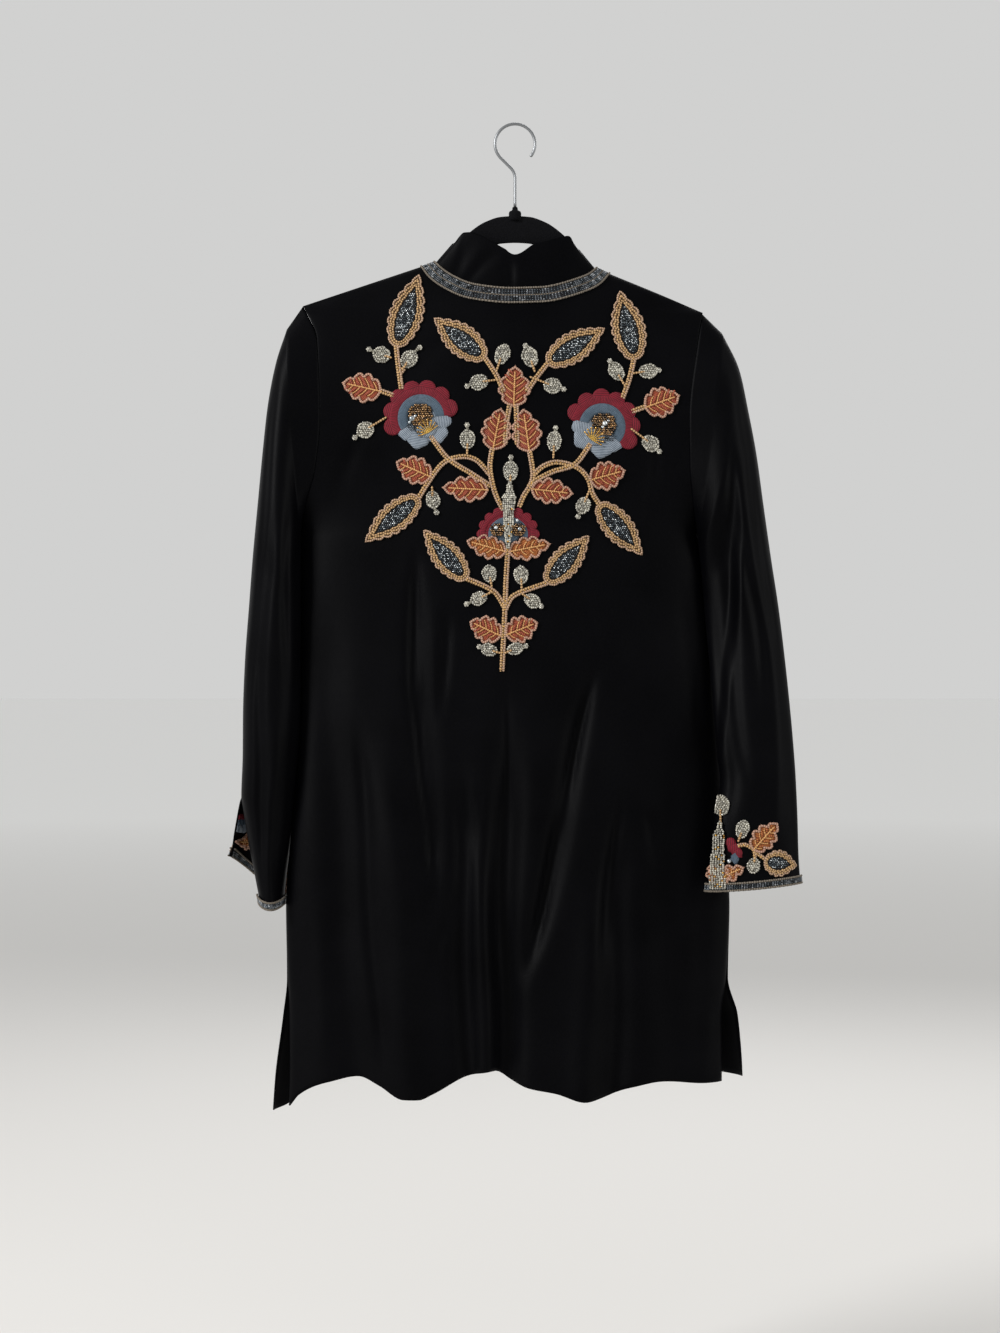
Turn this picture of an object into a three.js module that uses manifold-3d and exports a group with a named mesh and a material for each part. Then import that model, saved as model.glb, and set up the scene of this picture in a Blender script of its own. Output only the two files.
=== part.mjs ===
// An embroidered black jacket hanging on a slim flocked hanger, in millimetres.
// +Z is up. The embroidered back faces -Y, and +X is to the right as one looks at it.
// The origin is the inner top of the hook, where a rail carries the hanger.
import * as THREE from 'three';
import { mergeVertices } from 'three/addons/utils/BufferGeometryUtils.js';
import Module from 'manifold-3d';

const wasm = await Module();
wasm.setup();

// Driving dimensions
const clothThickness = 1.6;
const collarThickness = 2;
const seamGap = 0.3;
const armholeGap = 0.8; // clears the facets of the two curved edges
const collarGap = 1.6;
const laidClearance = 0.7; // between the cloth and what is sewn on it
const braidThickness = 2.2;
const cuffBraidWidth = 9;
const armpitZ = -412;
const centreX = -5; // centre front and centre back, beside the hook's line
const frontNeckZ = -230;
const shoulderEndZ = -180;
const hemProbeZ = -960; // where the hem's place along x is read
const wireDiameter = 3;
const hookRadius = 20; // to the middle of the wire
const barThickness = 5;
const cordWidth = 4.6;
const cordHeight = 1.5;
const leafHeight = 1.9;
const petalHeight = 2.2;
const discHeight = 2.8;

// Outward sides: the back faces -Y and the front faces +Y
const backSide = -1;
const frontSide = 1;
const quarter = Math.PI / 2; // a turn of 90 degrees

// Each row of a table gets the names of its columns
function table(names, rows) {
  const keys = names.split(' ');
  return rows.map((row) => Object.fromEntries(keys.map((key, i) => [key, row[i]])));
}

// A smooth curve through one column of a table, read at a place along another column
function through(rows, along, column) {
  const sorted = [...rows].sort((a, b) => a[along] - b[along]);
  const at = sorted.map((row) => row[along]);
  const value = sorted.map((row) => row[column]);
  const last = at.length - 1;
  const chord = (i) => (value[i + 1] - value[i]) / (at[i + 1] - at[i]);
  const slope = (i) => {
    if (i === 0) return chord(0);
    if (i === last) return chord(last - 1);
    const before = chord(i - 1);
    const after = chord(i);
    return before * after <= 0 ? 0 : (2 * before * after) / (before + after);
  };
  return (place) => {
    if (place <= at[0]) return value[0];
    if (place >= at[last]) return value[last];
    let i = 0;
    while (place > at[i + 1]) i += 1;
    const run = at[i + 1] - at[i];
    const t = (place - at[i]) / run;
    const rise = 3 * t * t - 2 * t * t * t;
    const enter = (t - 2 * t * t + t * t * t) * run * slope(i);
    const leave = (t * t * t - t * t) * run * slope(i + 1);
    return value[i] + (value[i + 1] - value[i]) * rise + enter + leave;
  };
}

const mix = (a, b, t) => a + (b - a) * t;
const limit = (value, low, high) => Math.min(Math.max(value, low), high);
const ease = (low, high, value) => {
  const t = limit((value - low) / (high - low), 0, 1);
  return t * t * (3 - 2 * t);
};

// Width of the body at each height: the armholes above the armpit, the side seams below
const widthRows = table('z left right frontLeft frontRight', [
  [-180, -212, 189, -212, 189],
  [-215, -197, 182, -197, 182],
  [-295, -193, 172, -193, 172],
  [-345, -198, 173, -198, 173],
  [-380, -208, 177, -208, 177],
  [-412, -214, 182, -214, 182],
  [-485, -214, 190, -214, 190],
  [-575, -214, 200, -214, 200],
  [-650, -218, 207, -218, 207],
  [-730, -226, 212, -226, 212],
  [-780, -229, 214.5, -229, 214.5],
  [-852, -227, 211, -228, 213],
  [-890, -225.5, 206.5, -232, 223],
  [-950, -225, 206.5, -240, 228],
  [-990, -226, 206, -243, 229],
]);
const edgeOf = {
  [backSide]: [through(widthRows, 'z', 'left'), through(widthRows, 'z', 'right')],
  [frontSide]: [through(widthRows, 'z', 'frontLeft'), through(widthRows, 'z', 'frontRight')],
};

// Depth of each half of the body from the side seams' plane: at its middle, and at its edges.
// Roundness 1 runs straight into the armhole, 0.5 turns round to the side seam.
const depthRows = table('z middle edge roundness', [
  [-136, 24, 0.15, 1],
  [-180, 26, 0.15, 1],
  [-190, 26, 5.5, 1],
  [-215, 28, 13, 1],
  [-260, 30, 22, 1],
  [-300, 32, 25, 1],
  [-345, 34, 23, 1],
  [-375, 35, 16, 0.9],
  [-398, 35, 7, 0.65],
  [-412, 36, 0.15, 0.5],
  [-600, 39, 0.15, 0.5],
  [-852, 42, 0.15, 0.5],
  [-985, 44, 6, 0.5],
]);
const middleDepth = through(depthRows, 'z', 'middle');
const edgeDepth = through(depthRows, 'z', 'edge');
const roundness = through(depthRows, 'z', 'roundness');

// The ridge line of the shoulders, which the hanger's bar holds up from below
const shoulderRows = table('x z', [
  [-214, -181.2],
  [-200, -176.5],
  [-80, -136.5],
  [-50, -126.5],
  [0, -117],
  [50, -129.5],
  [81, -142.5],
  [172, -180.5],
  [191, -189.5],
]);
const shoulderLine = through(shoulderRows, 'x', 'z');
const archDepth = 6.5; // half the depth of the cloth's arch over the bar
const archRun = 3.5;
const archReach = 40; // how far down the arch shows towards the shoulders' ends
const fallRun = 60;

// Long folds: a trough has a negative depth. Each fades in over the given run below its top,
// and fades out at its foot where that is above the hem.
const backFolds = table('topX topZ footX footZ depth width fadeIn', [
  [-8, -540, -11, -965, -15, 15, 170],
  [-33, -690, -29, -965, 7, 11, 110],
  [-101, -420, -76, -765, -5, 10, 90],
  [-56, -620, -44, -965, -9, 11, 90],
  [82, -520, 12, -850, -8, 12, 90],
  [105, -650, 98, -965, -9, 13, 120],
  [78, -700, 68, -965, 7, 15, 150],
  [-195, -440, -158, -965, -9, 19, 120],
  [-130, -560, -103, -965, 7, 18, 160],
  [150, -560, 158, -965, -6, 20, 160],
]);
const frontFolds = table('topX topZ footX footZ depth width fadeIn', [
  [-140, -420, -150, -965, -9, 17, 150],
  [-95, -520, -90, -965, 7, 19, 180],
  [-50, -640, -48, -965, -8, 14, 150],
  [48, -600, 42, -965, -8, 14, 150],
  [92, -500, 88, -965, 7, 18, 170],
  [140, -430, 148, -965, -9, 17, 150],
]);
const foldsOf = { [backSide]: backFolds, [frontSide]: frontFolds };

const footFade = 60; // how far above its foot a fold that ends in the cloth starts to fade

function foldDepth(side, x, z) {
  let depth = 0;
  for (const fold of foldsOf[side]) {
    const along = (fold.topZ - z) / (fold.topZ - fold.footZ);
    const middle = mix(fold.topX, fold.footX, along);
    const fadeIn = ease(0, fold.fadeIn, fold.topZ - z);
    const fadeOut = fold.footZ < hemProbeZ ? 1 : 1 - ease(-footFade, footFade / 3, fold.footZ - z);
    depth += fold.depth * fadeIn * fadeOut * Math.exp(-(((x - middle) / fold.width) ** 2));
  }
  return depth;
}

// A point of the body's outer face. The turn runs from -90 to 90 degrees, edge to edge.
function bodyPoint(side, turn, z) {
  const left = edgeOf[side][0](z);
  const right = edgeOf[side][1](z);
  const x = (left + right) / 2 + ((right - left) / 2) * Math.sin(turn);
  const below = Math.max(shoulderLine(x) - z, 0);
  const arch = archDepth * (1 - Math.exp(-below / archRun));
  const fall = (middleDepth(z) - archDepth) * (1 - Math.exp(-below / fallRun));
  const bulge = Math.cos(turn) ** (2 * roundness(z));
  const edge = edgeDepth(z);
  const overBar = arch * (bulge ** 0.3 - bulge) * Math.exp(-below / archReach);
  const depth = mix(edge, seamGap / 2 + arch + fall, bulge) + overBar;
  const y = depth + foldDepth(side, x, z) * Math.cos(turn);
  return new THREE.Vector3(x, side * y, z);
}

function turnAt(side, x, z) {
  const left = edgeOf[side][0](z);
  const right = edgeOf[side][1](z);
  return Math.asin(limit((2 * x - left - right) / (right - left), -1, 1));
}

const probeTurn = 0.04; // how far to each side the body's slope is measured, in radians
const probeDrop = 1.5; // and how far up and down

// A point held off the body's outer face, over a place given by x and z
function onBody(side, x, z, off) {
  const turn = turnAt(side, x, z);
  const high = bodyPoint(side, limit(turn + probeTurn, -quarter, quarter), z);
  const low = bodyPoint(side, limit(turn - probeTurn, -quarter, quarter), z);
  const down = bodyPoint(side, turn, z - probeDrop).sub(bodyPoint(side, turn, z + probeDrop));
  const outward = high.sub(low).cross(down).normalize().multiplyScalar(side);
  return bodyPoint(side, turn, z).addScaledVector(outward, off);
}

function geometryOf(points, faces) {
  const geometry = new THREE.BufferGeometry();
  const flat = points.flatMap((p) => [p.x, p.y, p.z]);
  geometry.setAttribute('position', new THREE.Float32BufferAttribute(flat, 3));
  geometry.setIndex(faces.flat());
  return mergeVertices(geometry, 1e-3);
}

// A closed wall between an outer and an inner net of points. Where weld says so for a row, the
// last column is the first one again, as in a tube; elsewhere the wall has a free edge there.
function wall(columns, rows, outerAt, innerAt, weld = () => false) {
  const points = [];
  for (let j = 0; j < rows; j += 1) {
    for (let i = 0; i < columns; i += 1) {
      points.push(outerAt(i, j), innerAt(i, j));
    }
  }
  const index = (i, j, layer) => {
    const column = i === columns - 1 && weld(j) ? 0 : i;
    return 2 * (j * columns + column) + layer;
  };
  const faces = [];
  const quad = (a, b, c, d) => faces.push([a, b, c], [a, c, d]);
  for (let j = 0; j < rows - 1; j += 1) {
    for (let i = 0; i < columns - 1; i += 1) {
      quad(index(i, j, 0), index(i, j + 1, 0), index(i + 1, j + 1, 0), index(i + 1, j, 0));
      quad(index(i, j, 1), index(i + 1, j, 1), index(i + 1, j + 1, 1), index(i, j + 1, 1));
    }
  }
  for (let i = 0; i < columns - 1; i += 1) {
    quad(index(i, 0, 0), index(i + 1, 0, 0), index(i + 1, 0, 1), index(i, 0, 1));
    const end = rows - 1;
    quad(index(i + 1, end, 0), index(i, end, 0), index(i, end, 1), index(i + 1, end, 1));
  }
  for (let j = 0; j < rows - 1; j += 1) {
    if (weld(j) && weld(j + 1)) continue;
    quad(index(0, j + 1, 0), index(0, j, 0), index(0, j, 1), index(0, j + 1, 1));
    const end = columns - 1;
    quad(index(end, j, 0), index(end, j + 1, 0), index(end, j + 1, 1), index(end, j, 1));
  }
  return faceOut(geometryOf(dropUnused(points, faces), faces));
}

// Points that no face uses are moved onto one that a face uses, so that merging drops them
function dropUnused(points, faces) {
  const used = new Set(faces.flat());
  const kept = points[faces[0][0]];
  return points.map((point, i) => (used.has(i) ? point : kept));
}

function volumeOf(geometry) {
  const position = geometry.getAttribute('position');
  const corner = (k) => new THREE.Vector3().fromBufferAttribute(position, geometry.index.getX(k));
  let sum = 0;
  for (let k = 0; k < geometry.index.count; k += 3) {
    sum += corner(k).dot(corner(k + 1).cross(corner(k + 2))) / 6;
  }
  return sum;
}

function faceOut(geometry) {
  if (volumeOf(geometry) > 0) return geometry;
  const index = Array.from(geometry.index.array);
  for (let k = 0; k < index.length; k += 3) {
    [index[k], index[k + 1]] = [index[k + 1], index[k]];
  }
  geometry.setIndex(index);
  return geometry;
}

// Necklines. The inner line is the collar's seam, the outer line is the braid's lower edge
const backNeck = table('innerX innerZ outerX outerZ', [
  [-80, -136.9, -94.5, -141.9],
  [-72, -144.5, -86, -153.5],
  [-60, -152.5, -70, -165.5],
  [-40, -160.5, -45, -176],
  [-5, -164.5, -5, -180.5],
  [26, -163.5, 28, -179.5],
  [58, -155.5, 64, -170.5],
  [74, -148.7, 84, -161],
  [81, -142.9, 95, -148.9],
]);
const leftNeck = table('innerX innerZ outerX outerZ', [
  [-80, -136.9, -94.5, -141.9],
  [-73, -160, -89, -165],
  [-58, -190, -72, -199],
  [-34, -216, -43, -230],
  [-5.3, -230, -5.3, -246],
]);
const rightNeck = table('innerX innerZ outerX outerZ', [
  [81, -142.9, 95, -148.9],
  [70, -163, 86, -168],
  [51, -192, 65, -201],
  [25, -217, 33, -231],
  [-4.7, -230, -4.7, -246],
]);
const neckLineOf = {
  [backSide]: through(backNeck, 'innerX', 'innerZ'),
  [frontSide]: through([...leftNeck.slice(0, -1), { innerX: centreX, innerZ: frontNeckZ },
    ...rightNeck.slice(0, -1)], 'innerX', 'innerZ'),
};
const neckLeftX = backNeck[0].innerX;
const neckRightX = backNeck[backNeck.length - 1].innerX;

const shoulderSeamDrop = 0.2; // from the ridge of the shoulders to each panel's edge

function topOf(side, x) {
  return x > neckLeftX && x < neckRightX ? neckLineOf[side](x) : shoulderLine(x) - shoulderSeamDrop;
}

// Hems: their lowest points are the folds that stand out
const hemRows = table('x back front', [
  [-243, -984, -986],
  [-228, -981, -981],
  [-215, -966.5, -965],
  [-200, -957.5, -955],
  [-185, -952.5, -950],
  [-155, -946.5, -944],
  [-135, -954.5, -946],
  [-110, -967.5, -953],
  [-95, -967.5, -954],
  [-80, -961.5, -951],
  [-50, -945.5, -944],
  [-20, -939.5, -948],
  [-5, -948.5, -950],
  [12, -956, -948],
  [40, -961.5, -944],
  [70, -969.5, -951],
  [85, -966.5, -954],
  [115, -956.5, -951],
  [145, -951.5, -944],
  [190, -954.5, -947],
  [229, -953.5, -951],
]);
const hemOf = {
  [backSide]: through(hemRows, 'x', 'back'),
  [frontSide]: through(hemRows, 'x', 'front'),
};

// Columns of a panel, as turns, from one place to another. Those along the neckline take the
// place of the even ones that lie near them.
function turnsBetween(from, to, count, atNeck) {
  const nearTurn = 0.06; // radians
  const even = Array.from({ length: count }, (_, i) => mix(from, to, i / (count - 1)));
  const kept = even.filter((turn, i) => i === 0 || i === count - 1
    || atNeck.every((neck) => Math.abs(neck - turn) > nearTurn));
  return [...kept, ...atNeck].sort((a, b) => a - b);
}

const upperRows = 11;
const lowerRows = 11;
const upperCrowding = 1.6; // rows lie closer together near the shoulders
const topPasses = 12; // rounds in which a column finds where it meets the panel's top edge

function panel(side, turns) {
  const rows = upperRows + lowerRows + 1;
  const placeAt = (i, j) => {
    let top = shoulderEndZ;
    for (let pass = 0; pass < topPasses; pass += 1) top = topOf(side, bodyPoint(side, turns[i], top).x);
    const hem = hemOf[side](bodyPoint(side, turns[i], hemProbeZ).x);
    const above = (j / upperRows) ** upperCrowding;
    const below = (j - upperRows) / lowerRows;
    return j <= upperRows ? mix(top, armpitZ, above) : mix(armpitZ, hem, below);
  };
  const layer = (off) => (i, j) => {
    const z = placeAt(i, j);
    const point = onBody(side, bodyPoint(side, turns[i], z).x, z, off);
    point.y = side * Math.max(side * point.y, seamGap / 2); // neither half crosses the seams' plane
    return point;
  };
  return wall(turns.length, rows, layer(0), layer(-clothThickness));
}

const columnsAt = (side, places) => places.map((x) => turnAt(side, x, topOf(side, x)));
const leftNeckColumns = [neckLeftX, -70, -59, -47, -35, -22];
const rightNeckColumns = [neckRightX, 70, 58, 44, 30, 15];
const centreTurn = turnAt(frontSide, centreX, -400);
const centreGap = 0.0009; // as a turn: seam gap at centre front over half the body's width

// Sleeves: each row gives a ring by its outer and inner edge, half its depth and its shift in y
const leftRings = table('outerX outerZ innerX innerZ depth shift', [
  [-228, -204, -218, -418, 30, 0],
  [-239, -238, -219, -424, 34, 0],
  [-247, -280, -219.5, -434, 37, 0],
  [-252, -325, -219.5, -449, 39, 0],
  [-257, -378, -219.5, -471, 40, 0],
  [-262, -430, -219, -500, 39, 1],
  [-266, -482, -218.5, -536, 38, 1],
  [-270, -534, -218.5, -574, 36, 2],
  [-272, -584, -220, -612, 34, 2],
  [-272.5, -630, -223, -650, 32, 3],
  [-274, -672, -227.5, -686, 30, 4],
  [-274, -706, -231, -717, 28, 5],
  [-273, -734, -233, -743, 27, 6],
  [-272, -757, -233.5, -768, 26, 6],
]);
const rightRings = table('outerX outerZ innerX innerZ depth shift', [
  [207, -208, 187, -418, 31, 0],
  [224, -244, 189, -424, 35, 0],
  [233, -285, 192, -434, 37, 0],
  [241, -328, 194.5, -449, 38, -1],
  [248, -380, 197, -471, 37, -3],
  [255, -432, 200, -500, 34, -7],
  [262, -482, 207, -530, 30, -13],
  [268, -528, 215, -558, 27, -20],
  [273, -572, 216.5, -592, 25, -27],
  [277, -612, 212, -628, 23, -33],
  [281, -655, 205, -664, 21, -38],
  [282, -695, 198, -702, 19, -42],
  [282.5, -730, 192, -738, 17, -44],
  [284.5, -758, 187.5, -766, 16, -45],
]);

// How each cuff stands open at its vent: the near and far edges move apart and up or down
const vents = {
  left: { nearX: 17, farX: -15, nearY: -5, farY: 9, nearZ: -24, farZ: 25 },
  right: { nearX: 0.6, farX: -7, nearY: -1, farY: 5, nearZ: 0, farZ: 2 },
};
const ventRows = 3; // ring steps above the cuff that the vent reaches
const ringKeys = ['outerX', 'outerZ', 'innerX', 'innerZ', 'depth', 'shift'];
const shoulderEdge = widthRows[0];
const sleeveHands = {
  left: { rings: leftRings, edge: 0, outward: -1, shoulderX: shoulderEdge.left },
  right: { rings: rightRings, edge: 1, outward: 1, shoulderX: shoulderEdge.right },
};
const sleeveHeadDrop = 1.2; // from the ridge of the shoulder to the sleeve's head
const armholeInset = 0.15; // the sleeve's head is this much shallower than the body's armhole
const armholeRounding = 3; // how quickly the head opens from its top and foot

// The sleeve's outer face: station 0 is the armhole, station 1 the first ring, and so on.
// Around 0 is the outer edge, a quarter is the back, a half is the inner edge.
function sleevePoint(hand, around, station) {
  const { rings, edge, outward, shoulderX } = sleeveHands[hand];
  const last = rings.length;
  const side = around < 0.5 ? backSide : frontSide;
  const angle = around * 2 * Math.PI;
  const swing = (1 - Math.cos(angle)) / 2;
  const loopZ = mix(shoulderLine(shoulderX) - sleeveHeadDrop, armpitZ, swing);
  const loopDepth = Math.max(edgeDepth(loopZ) - armholeInset, 0)
    * Math.min(1, Math.abs(Math.sin(angle)) * armholeRounding);
  const loop = new THREE.Vector3(
    edgeOf[side][edge](loopZ) + outward * armholeGap,
    side * loopDepth,
    loopZ,
  );
  if (station <= 0) return loop;
  const lower = limit(Math.floor(station) - 1, 0, last - 2);
  const part = limit(station - 1 - lower, -1, 1);
  const ring = Object.fromEntries(ringKeys.map((key) => {
    const low = rings[lower][key];
    const high = rings[lower + 1][key];
    return [key, mix(low, high, Math.max(part, 0))];
  }));
  const point = new THREE.Vector3(
    mix(ring.outerX, ring.innerX, swing),
    ring.shift - ring.depth * Math.sin(angle),
    mix(ring.outerZ, ring.innerZ, swing),
  );
  const open = limit((station - (last - ventRows)) / ventRows, 0, 1);
  const vent = vents[hand];
  const near = around < 0.5 ? (1 + Math.cos(angle)) / 2 : 0;
  const far = around < 0.5 ? 0 : (1 + Math.cos(angle)) / 2;
  point.x += open * (near * vent.nearX + far * vent.farX);
  point.y += open * (near * vent.nearY + far * vent.farY);
  point.z += open * open * (near * vent.nearZ + far * vent.farZ);
  return station < 1 ? loop.lerp(point, station) : point;
}

const sleeveAround = 20;
const probeAround = 0.012; // how far to each side the sleeve's slope is measured, of once round
const probeStation = 0.4; // and how far up and down, in stations

function onSleeve(hand, around, station, off) {
  const { rings, outward } = sleeveHands[hand];
  const open = station > rings.length - ventRows + 0.01;
  const wrap = (value) => (open ? limit(value, 0, 1) : (value + 1) % 1);
  const before = sleevePoint(hand, wrap(around - probeAround), station);
  const after = sleevePoint(hand, wrap(around + probeAround), station);
  const up = sleevePoint(hand, around, Math.max(station - probeStation, 0));
  const down = sleevePoint(hand, around, Math.min(station + probeStation, rings.length));
  const normal = after.sub(before).cross(down.sub(up)).normalize();
  return sleevePoint(hand, around, station).addScaledVector(normal, outward * off);
}

function sleeve(hand) {
  const stations = sleeveHands[hand].rings.length + 1;
  const columns = sleeveAround + 1;
  const layer = (off) => (i, j) => onSleeve(hand, i / sleeveAround, j, off);
  const closedAbove = stations - 1 - ventRows;
  return wall(columns, stations, layer(0), layer(-clothThickness), (j) => j <= closedAbove);
}

// The braid round a cuff follows its lower edge, from one side of the vent to the other
const ringRun = 25; // about the distance between a sleeve's last rings
const ventMargin = 0.004; // the braid stops this far from the vent, of once round

function cuffBraid(hand) {
  const foot = sleeveHands[hand].rings.length - 0.01;
  const layer = (off) => (i, j) => {
    const station = foot - (j * cuffBraidWidth) / ringRun;
    return onSleeve(hand, mix(ventMargin, 1 - ventMargin, i / sleeveAround), station, off);
  };
  const outer = layer(laidClearance + braidThickness);
  return wall(sleeveAround + 1, 2, outer, layer(laidClearance));
}

const neckBraidMargin = 0.03; // from the collar's seam, of the braid's width

// The neck braid lies on a panel between the two lines of its neck table
function neckBraid(side, rows, count) {
  const numbered = rows.map((row, place) => ({ ...row, place }));
  const at = ['innerX', 'innerZ', 'outerX', 'outerZ'].map((key) => through(numbered, 'place', key));
  const layer = (off) => (i, j) => {
    const place = ease(0, count - 1, i) * (rows.length - 1); // closer together at the shoulders
    const [innerX, innerZ, outerX, outerZ] = at.map((read) => read(place));
    const across = mix(neckBraidMargin, 1, j / 2);
    return onBody(side, mix(innerX, outerX, across), mix(innerZ, outerZ, across), off);
  };
  return wall(count, 3, layer(laidClearance + braidThickness), layer(laidClearance));
}

// The stand collar runs from centre front round the back to centre front again
const collarRows = table('place height lean', [
  [0, 34, 0.1],
  [0.5, 33, 0.14],
  [0.9, 27, 0.2],
  [1, 25, 0.22],
  [1.1, 34, 0.22],
  [1.22, 47, 0.2],
  [1.36, 52, 0.16],
  [1.48, 41, 0.1],
  [1.5, 38, 0.1],
  [1.52, 41, 0.1],
  [1.64, 50, 0.16],
  [1.78, 45, 0.2],
  [1.9, 34, 0.2],
  [2, 26, 0.2],
  [2.1, 28, 0.2],
  [2.5, 33, 0.14],
  [3, 34, 0.1],
]);
const collarHeight = through(collarRows, 'place', 'height');
const collarLean = through(collarRows, 'place', 'lean');
const collarParts = [
  { side: frontSide, rows: [...leftNeck].reverse() },
  { side: backSide, rows: backNeck },
  { side: frontSide, rows: rightNeck },
];

function collarSeam(place) {
  const part = limit(Math.floor(place), 0, 2);
  const { side, rows } = collarParts[part];
  const numbered = rows.map((row, k) => ({ ...row, place: k / (rows.length - 1) }));
  const read = (key) => through(numbered, 'place', key)(place - part);
  const inward = new THREE.Vector2(read('innerX') - read('outerX'), read('innerZ') - read('outerZ'));
  inward.normalize().multiplyScalar(collarGap);
  const seamZ = neckLineOf[side](read('innerX'));
  return onBody(side, read('innerX') + inward.x, seamZ + inward.y, 0);
}

const collarEnd = 3; // place at the right front's centre edge
const frontMargin = 0.01; // between the collar's ends and centre front
const leanGrowth = 1.3; // the collar leans in more towards its top
const collarTaper = 0.2; // share of its depth that it loses by its top

function collarPoint(place, rise) {
  const foot = collarSeam(limit(place, frontMargin, collarEnd - frontMargin));
  const lean = collarLean(place) * rise ** leanGrowth;
  return new THREE.Vector3(
    mix(foot.x, centreX, lean),
    foot.y * (1 - collarTaper * rise),
    foot.z + collarHeight(place) * rise,
  );
}

function collar() {
  const columns = 43;
  const rows = 5;
  const probePlace = 0.04;
  const probeRise = 0.1;
  const layer = (off) => (i, j) => {
    const place = (collarEnd * i) / (columns - 1);
    const rise = j / (rows - 1);
    const along = collarPoint(Math.min(place + probePlace, collarEnd), rise)
      .sub(collarPoint(Math.max(place - probePlace, 0), rise));
    const up = collarPoint(place, Math.min(rise + probeRise, 1))
      .sub(collarPoint(place, Math.max(rise - probeRise, 0)));
    const outward = up.cross(along).normalize();
    return collarPoint(place, rise).addScaledVector(outward, off);
  };
  return wall(columns, rows, layer(0), layer(-collarThickness));
}

// The hanger's bar: an arched strip with a hump at the neck and rounded arm ends
const barRows = table('x top height', [
  [-186, -183.5, 12],
  [-178, -179, 17],
  [-150, -169, 20],
  [-110, -155.5, 22],
  [-88, -150.5, 25],
  [-74, -143, 29],
  [-58, -119.5, 36],
  [-45, -106.5, 33],
  [-30, -96.5, 29],
  [-14, -91.3, 27],
  [0, -90.5, 27],
  [14, -91.3, 27],
  [30, -96.5, 29],
  [45, -106.5, 33],
  [60, -122.5, 37],
  [74, -148, 27],
  [90, -157.5, 25],
  [120, -167.5, 22],
  [148, -179.5, 19],
  [160, -185, 17],
  [167, -189.5, 12],
]);

const barBevel = 1;
const knob = { foot: -95, shoulder: -86, neck: -84, top: -81.6, radius: 6, neckRadius: 2.6, sides: 12 };

function hanger() {
  const outline = new THREE.Shape();
  outline.moveTo(barRows[0].x, barRows[0].top);
  barRows.slice(1).forEach((row) => outline.lineTo(row.x, row.top));
  [...barRows].reverse().forEach((row) => outline.lineTo(row.x, row.top - row.height));
  const core = barThickness - 2 * barBevel;
  const bar = new THREE.ExtrudeGeometry(outline, { depth: core, bevelEnabled: true,
    bevelThickness: barBevel, bevelSize: barBevel, bevelOffset: -barBevel, bevelSegments: 1 });
  bar.rotateX(quarter);
  bar.translate(0, core / 2, 0);
  const profile = [[0, knob.foot], [knob.radius, knob.foot], [knob.radius, knob.shoulder],
    [knob.neckRadius, knob.neck], [knob.neckRadius, knob.top], [0, knob.top]];
  const turned = new THREE.LatheGeometry(profile.map(([r, z]) => new THREE.Vector2(r, z)), knob.sides);
  turned.rotateX(quarter);
  return fromSolid(solidOf(bar).add(solidOf(turned)));
}

const hookFootZ = knob.top + seamGap;
const bend = 14; // radius of the wire's bend above its stem
const eighth = Math.PI / 4;
const bendSteps = 4;
const crookSteps = 18;
const crookTurn = THREE.MathUtils.degToRad(262);
const wireSides = 8;

// The wire hook: a straight stem, a bend of an eighth turn to the left, and a round crook
function hook() {
  const middleZ = wireDiameter / 2 - hookRadius;
  const bendX = -bend * (1 - Math.cos(eighth));
  const joinX = -hookRadius * Math.cos(eighth);
  const joinZ = middleZ - hookRadius * Math.sin(eighth);
  const bendTopZ = joinZ - (bendX - joinX);
  const bendFootZ = bendTopZ - bend * Math.sin(eighth);
  const route = [hookFootZ, mix(hookFootZ, bendFootZ, 0.5)].map((z) => new THREE.Vector3(0, 0, z));
  for (let k = 0; k <= bendSteps; k += 1) {
    const turn = (eighth * k) / bendSteps;
    const x = -bend * (1 - Math.cos(turn));
    route.push(new THREE.Vector3(x, 0, bendFootZ + bend * Math.sin(turn)));
  }
  for (let k = 0; k <= crookSteps; k += 1) {
    const turn = Math.PI + eighth - (crookTurn * k) / crookSteps;
    const x = hookRadius * Math.cos(turn);
    route.push(new THREE.Vector3(x, 0, middleZ + hookRadius * Math.sin(turn)));
  }
  const sides = wireSides;
  const ringAt = (k, side) => {
    const before = route[Math.max(k - 1, 0)];
    const after = route[Math.min(k + 1, route.length - 1)];
    const along = after.clone().sub(before).normalize();
    const across = new THREE.Vector3(along.z, 0, -along.x);
    const turn = (2 * Math.PI * side) / sides;
    const reach = wireDiameter / 2;
    return route[k].clone().addScaledVector(across, reach * Math.cos(turn))
      .add(new THREE.Vector3(0, reach * Math.sin(turn), 0));
  };
  const points = route.flatMap((_, k) => Array.from({ length: sides }, (__, s) => ringAt(k, s)));
  const faces = [];
  for (let k = 0; k < route.length - 1; k += 1) {
    for (let s = 0; s < sides; s += 1) {
      const next = (s + 1) % sides;
      const [a, b] = [k * sides + s, k * sides + next];
      faces.push([a, b, b + sides], [a, b + sides, a + sides]);
    }
  }
  const start = points.push(route[0].clone()) - 1;
  const end = points.push(route[route.length - 1].clone()) - 1;
  const tail = (route.length - 1) * sides;
  for (let s = 0; s < sides; s += 1) {
    const next = (s + 1) % sides;
    faces.push([next, s, start], [tail + s, tail + next, end]);
  }
  return faceOut(geometryOf(points, faces));
}

function solidOf(geometry) {
  const bare = geometry.clone();
  bare.deleteAttribute('normal');
  bare.deleteAttribute('uv');
  const merged = faceOut(mergeVertices(bare, 1e-3));
  return new wasm.Manifold(new wasm.Mesh({
    numProp: 3,
    vertProperties: new Float32Array(merged.getAttribute('position').array),
    triVerts: new Uint32Array(merged.index.array),
  }));
}

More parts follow.
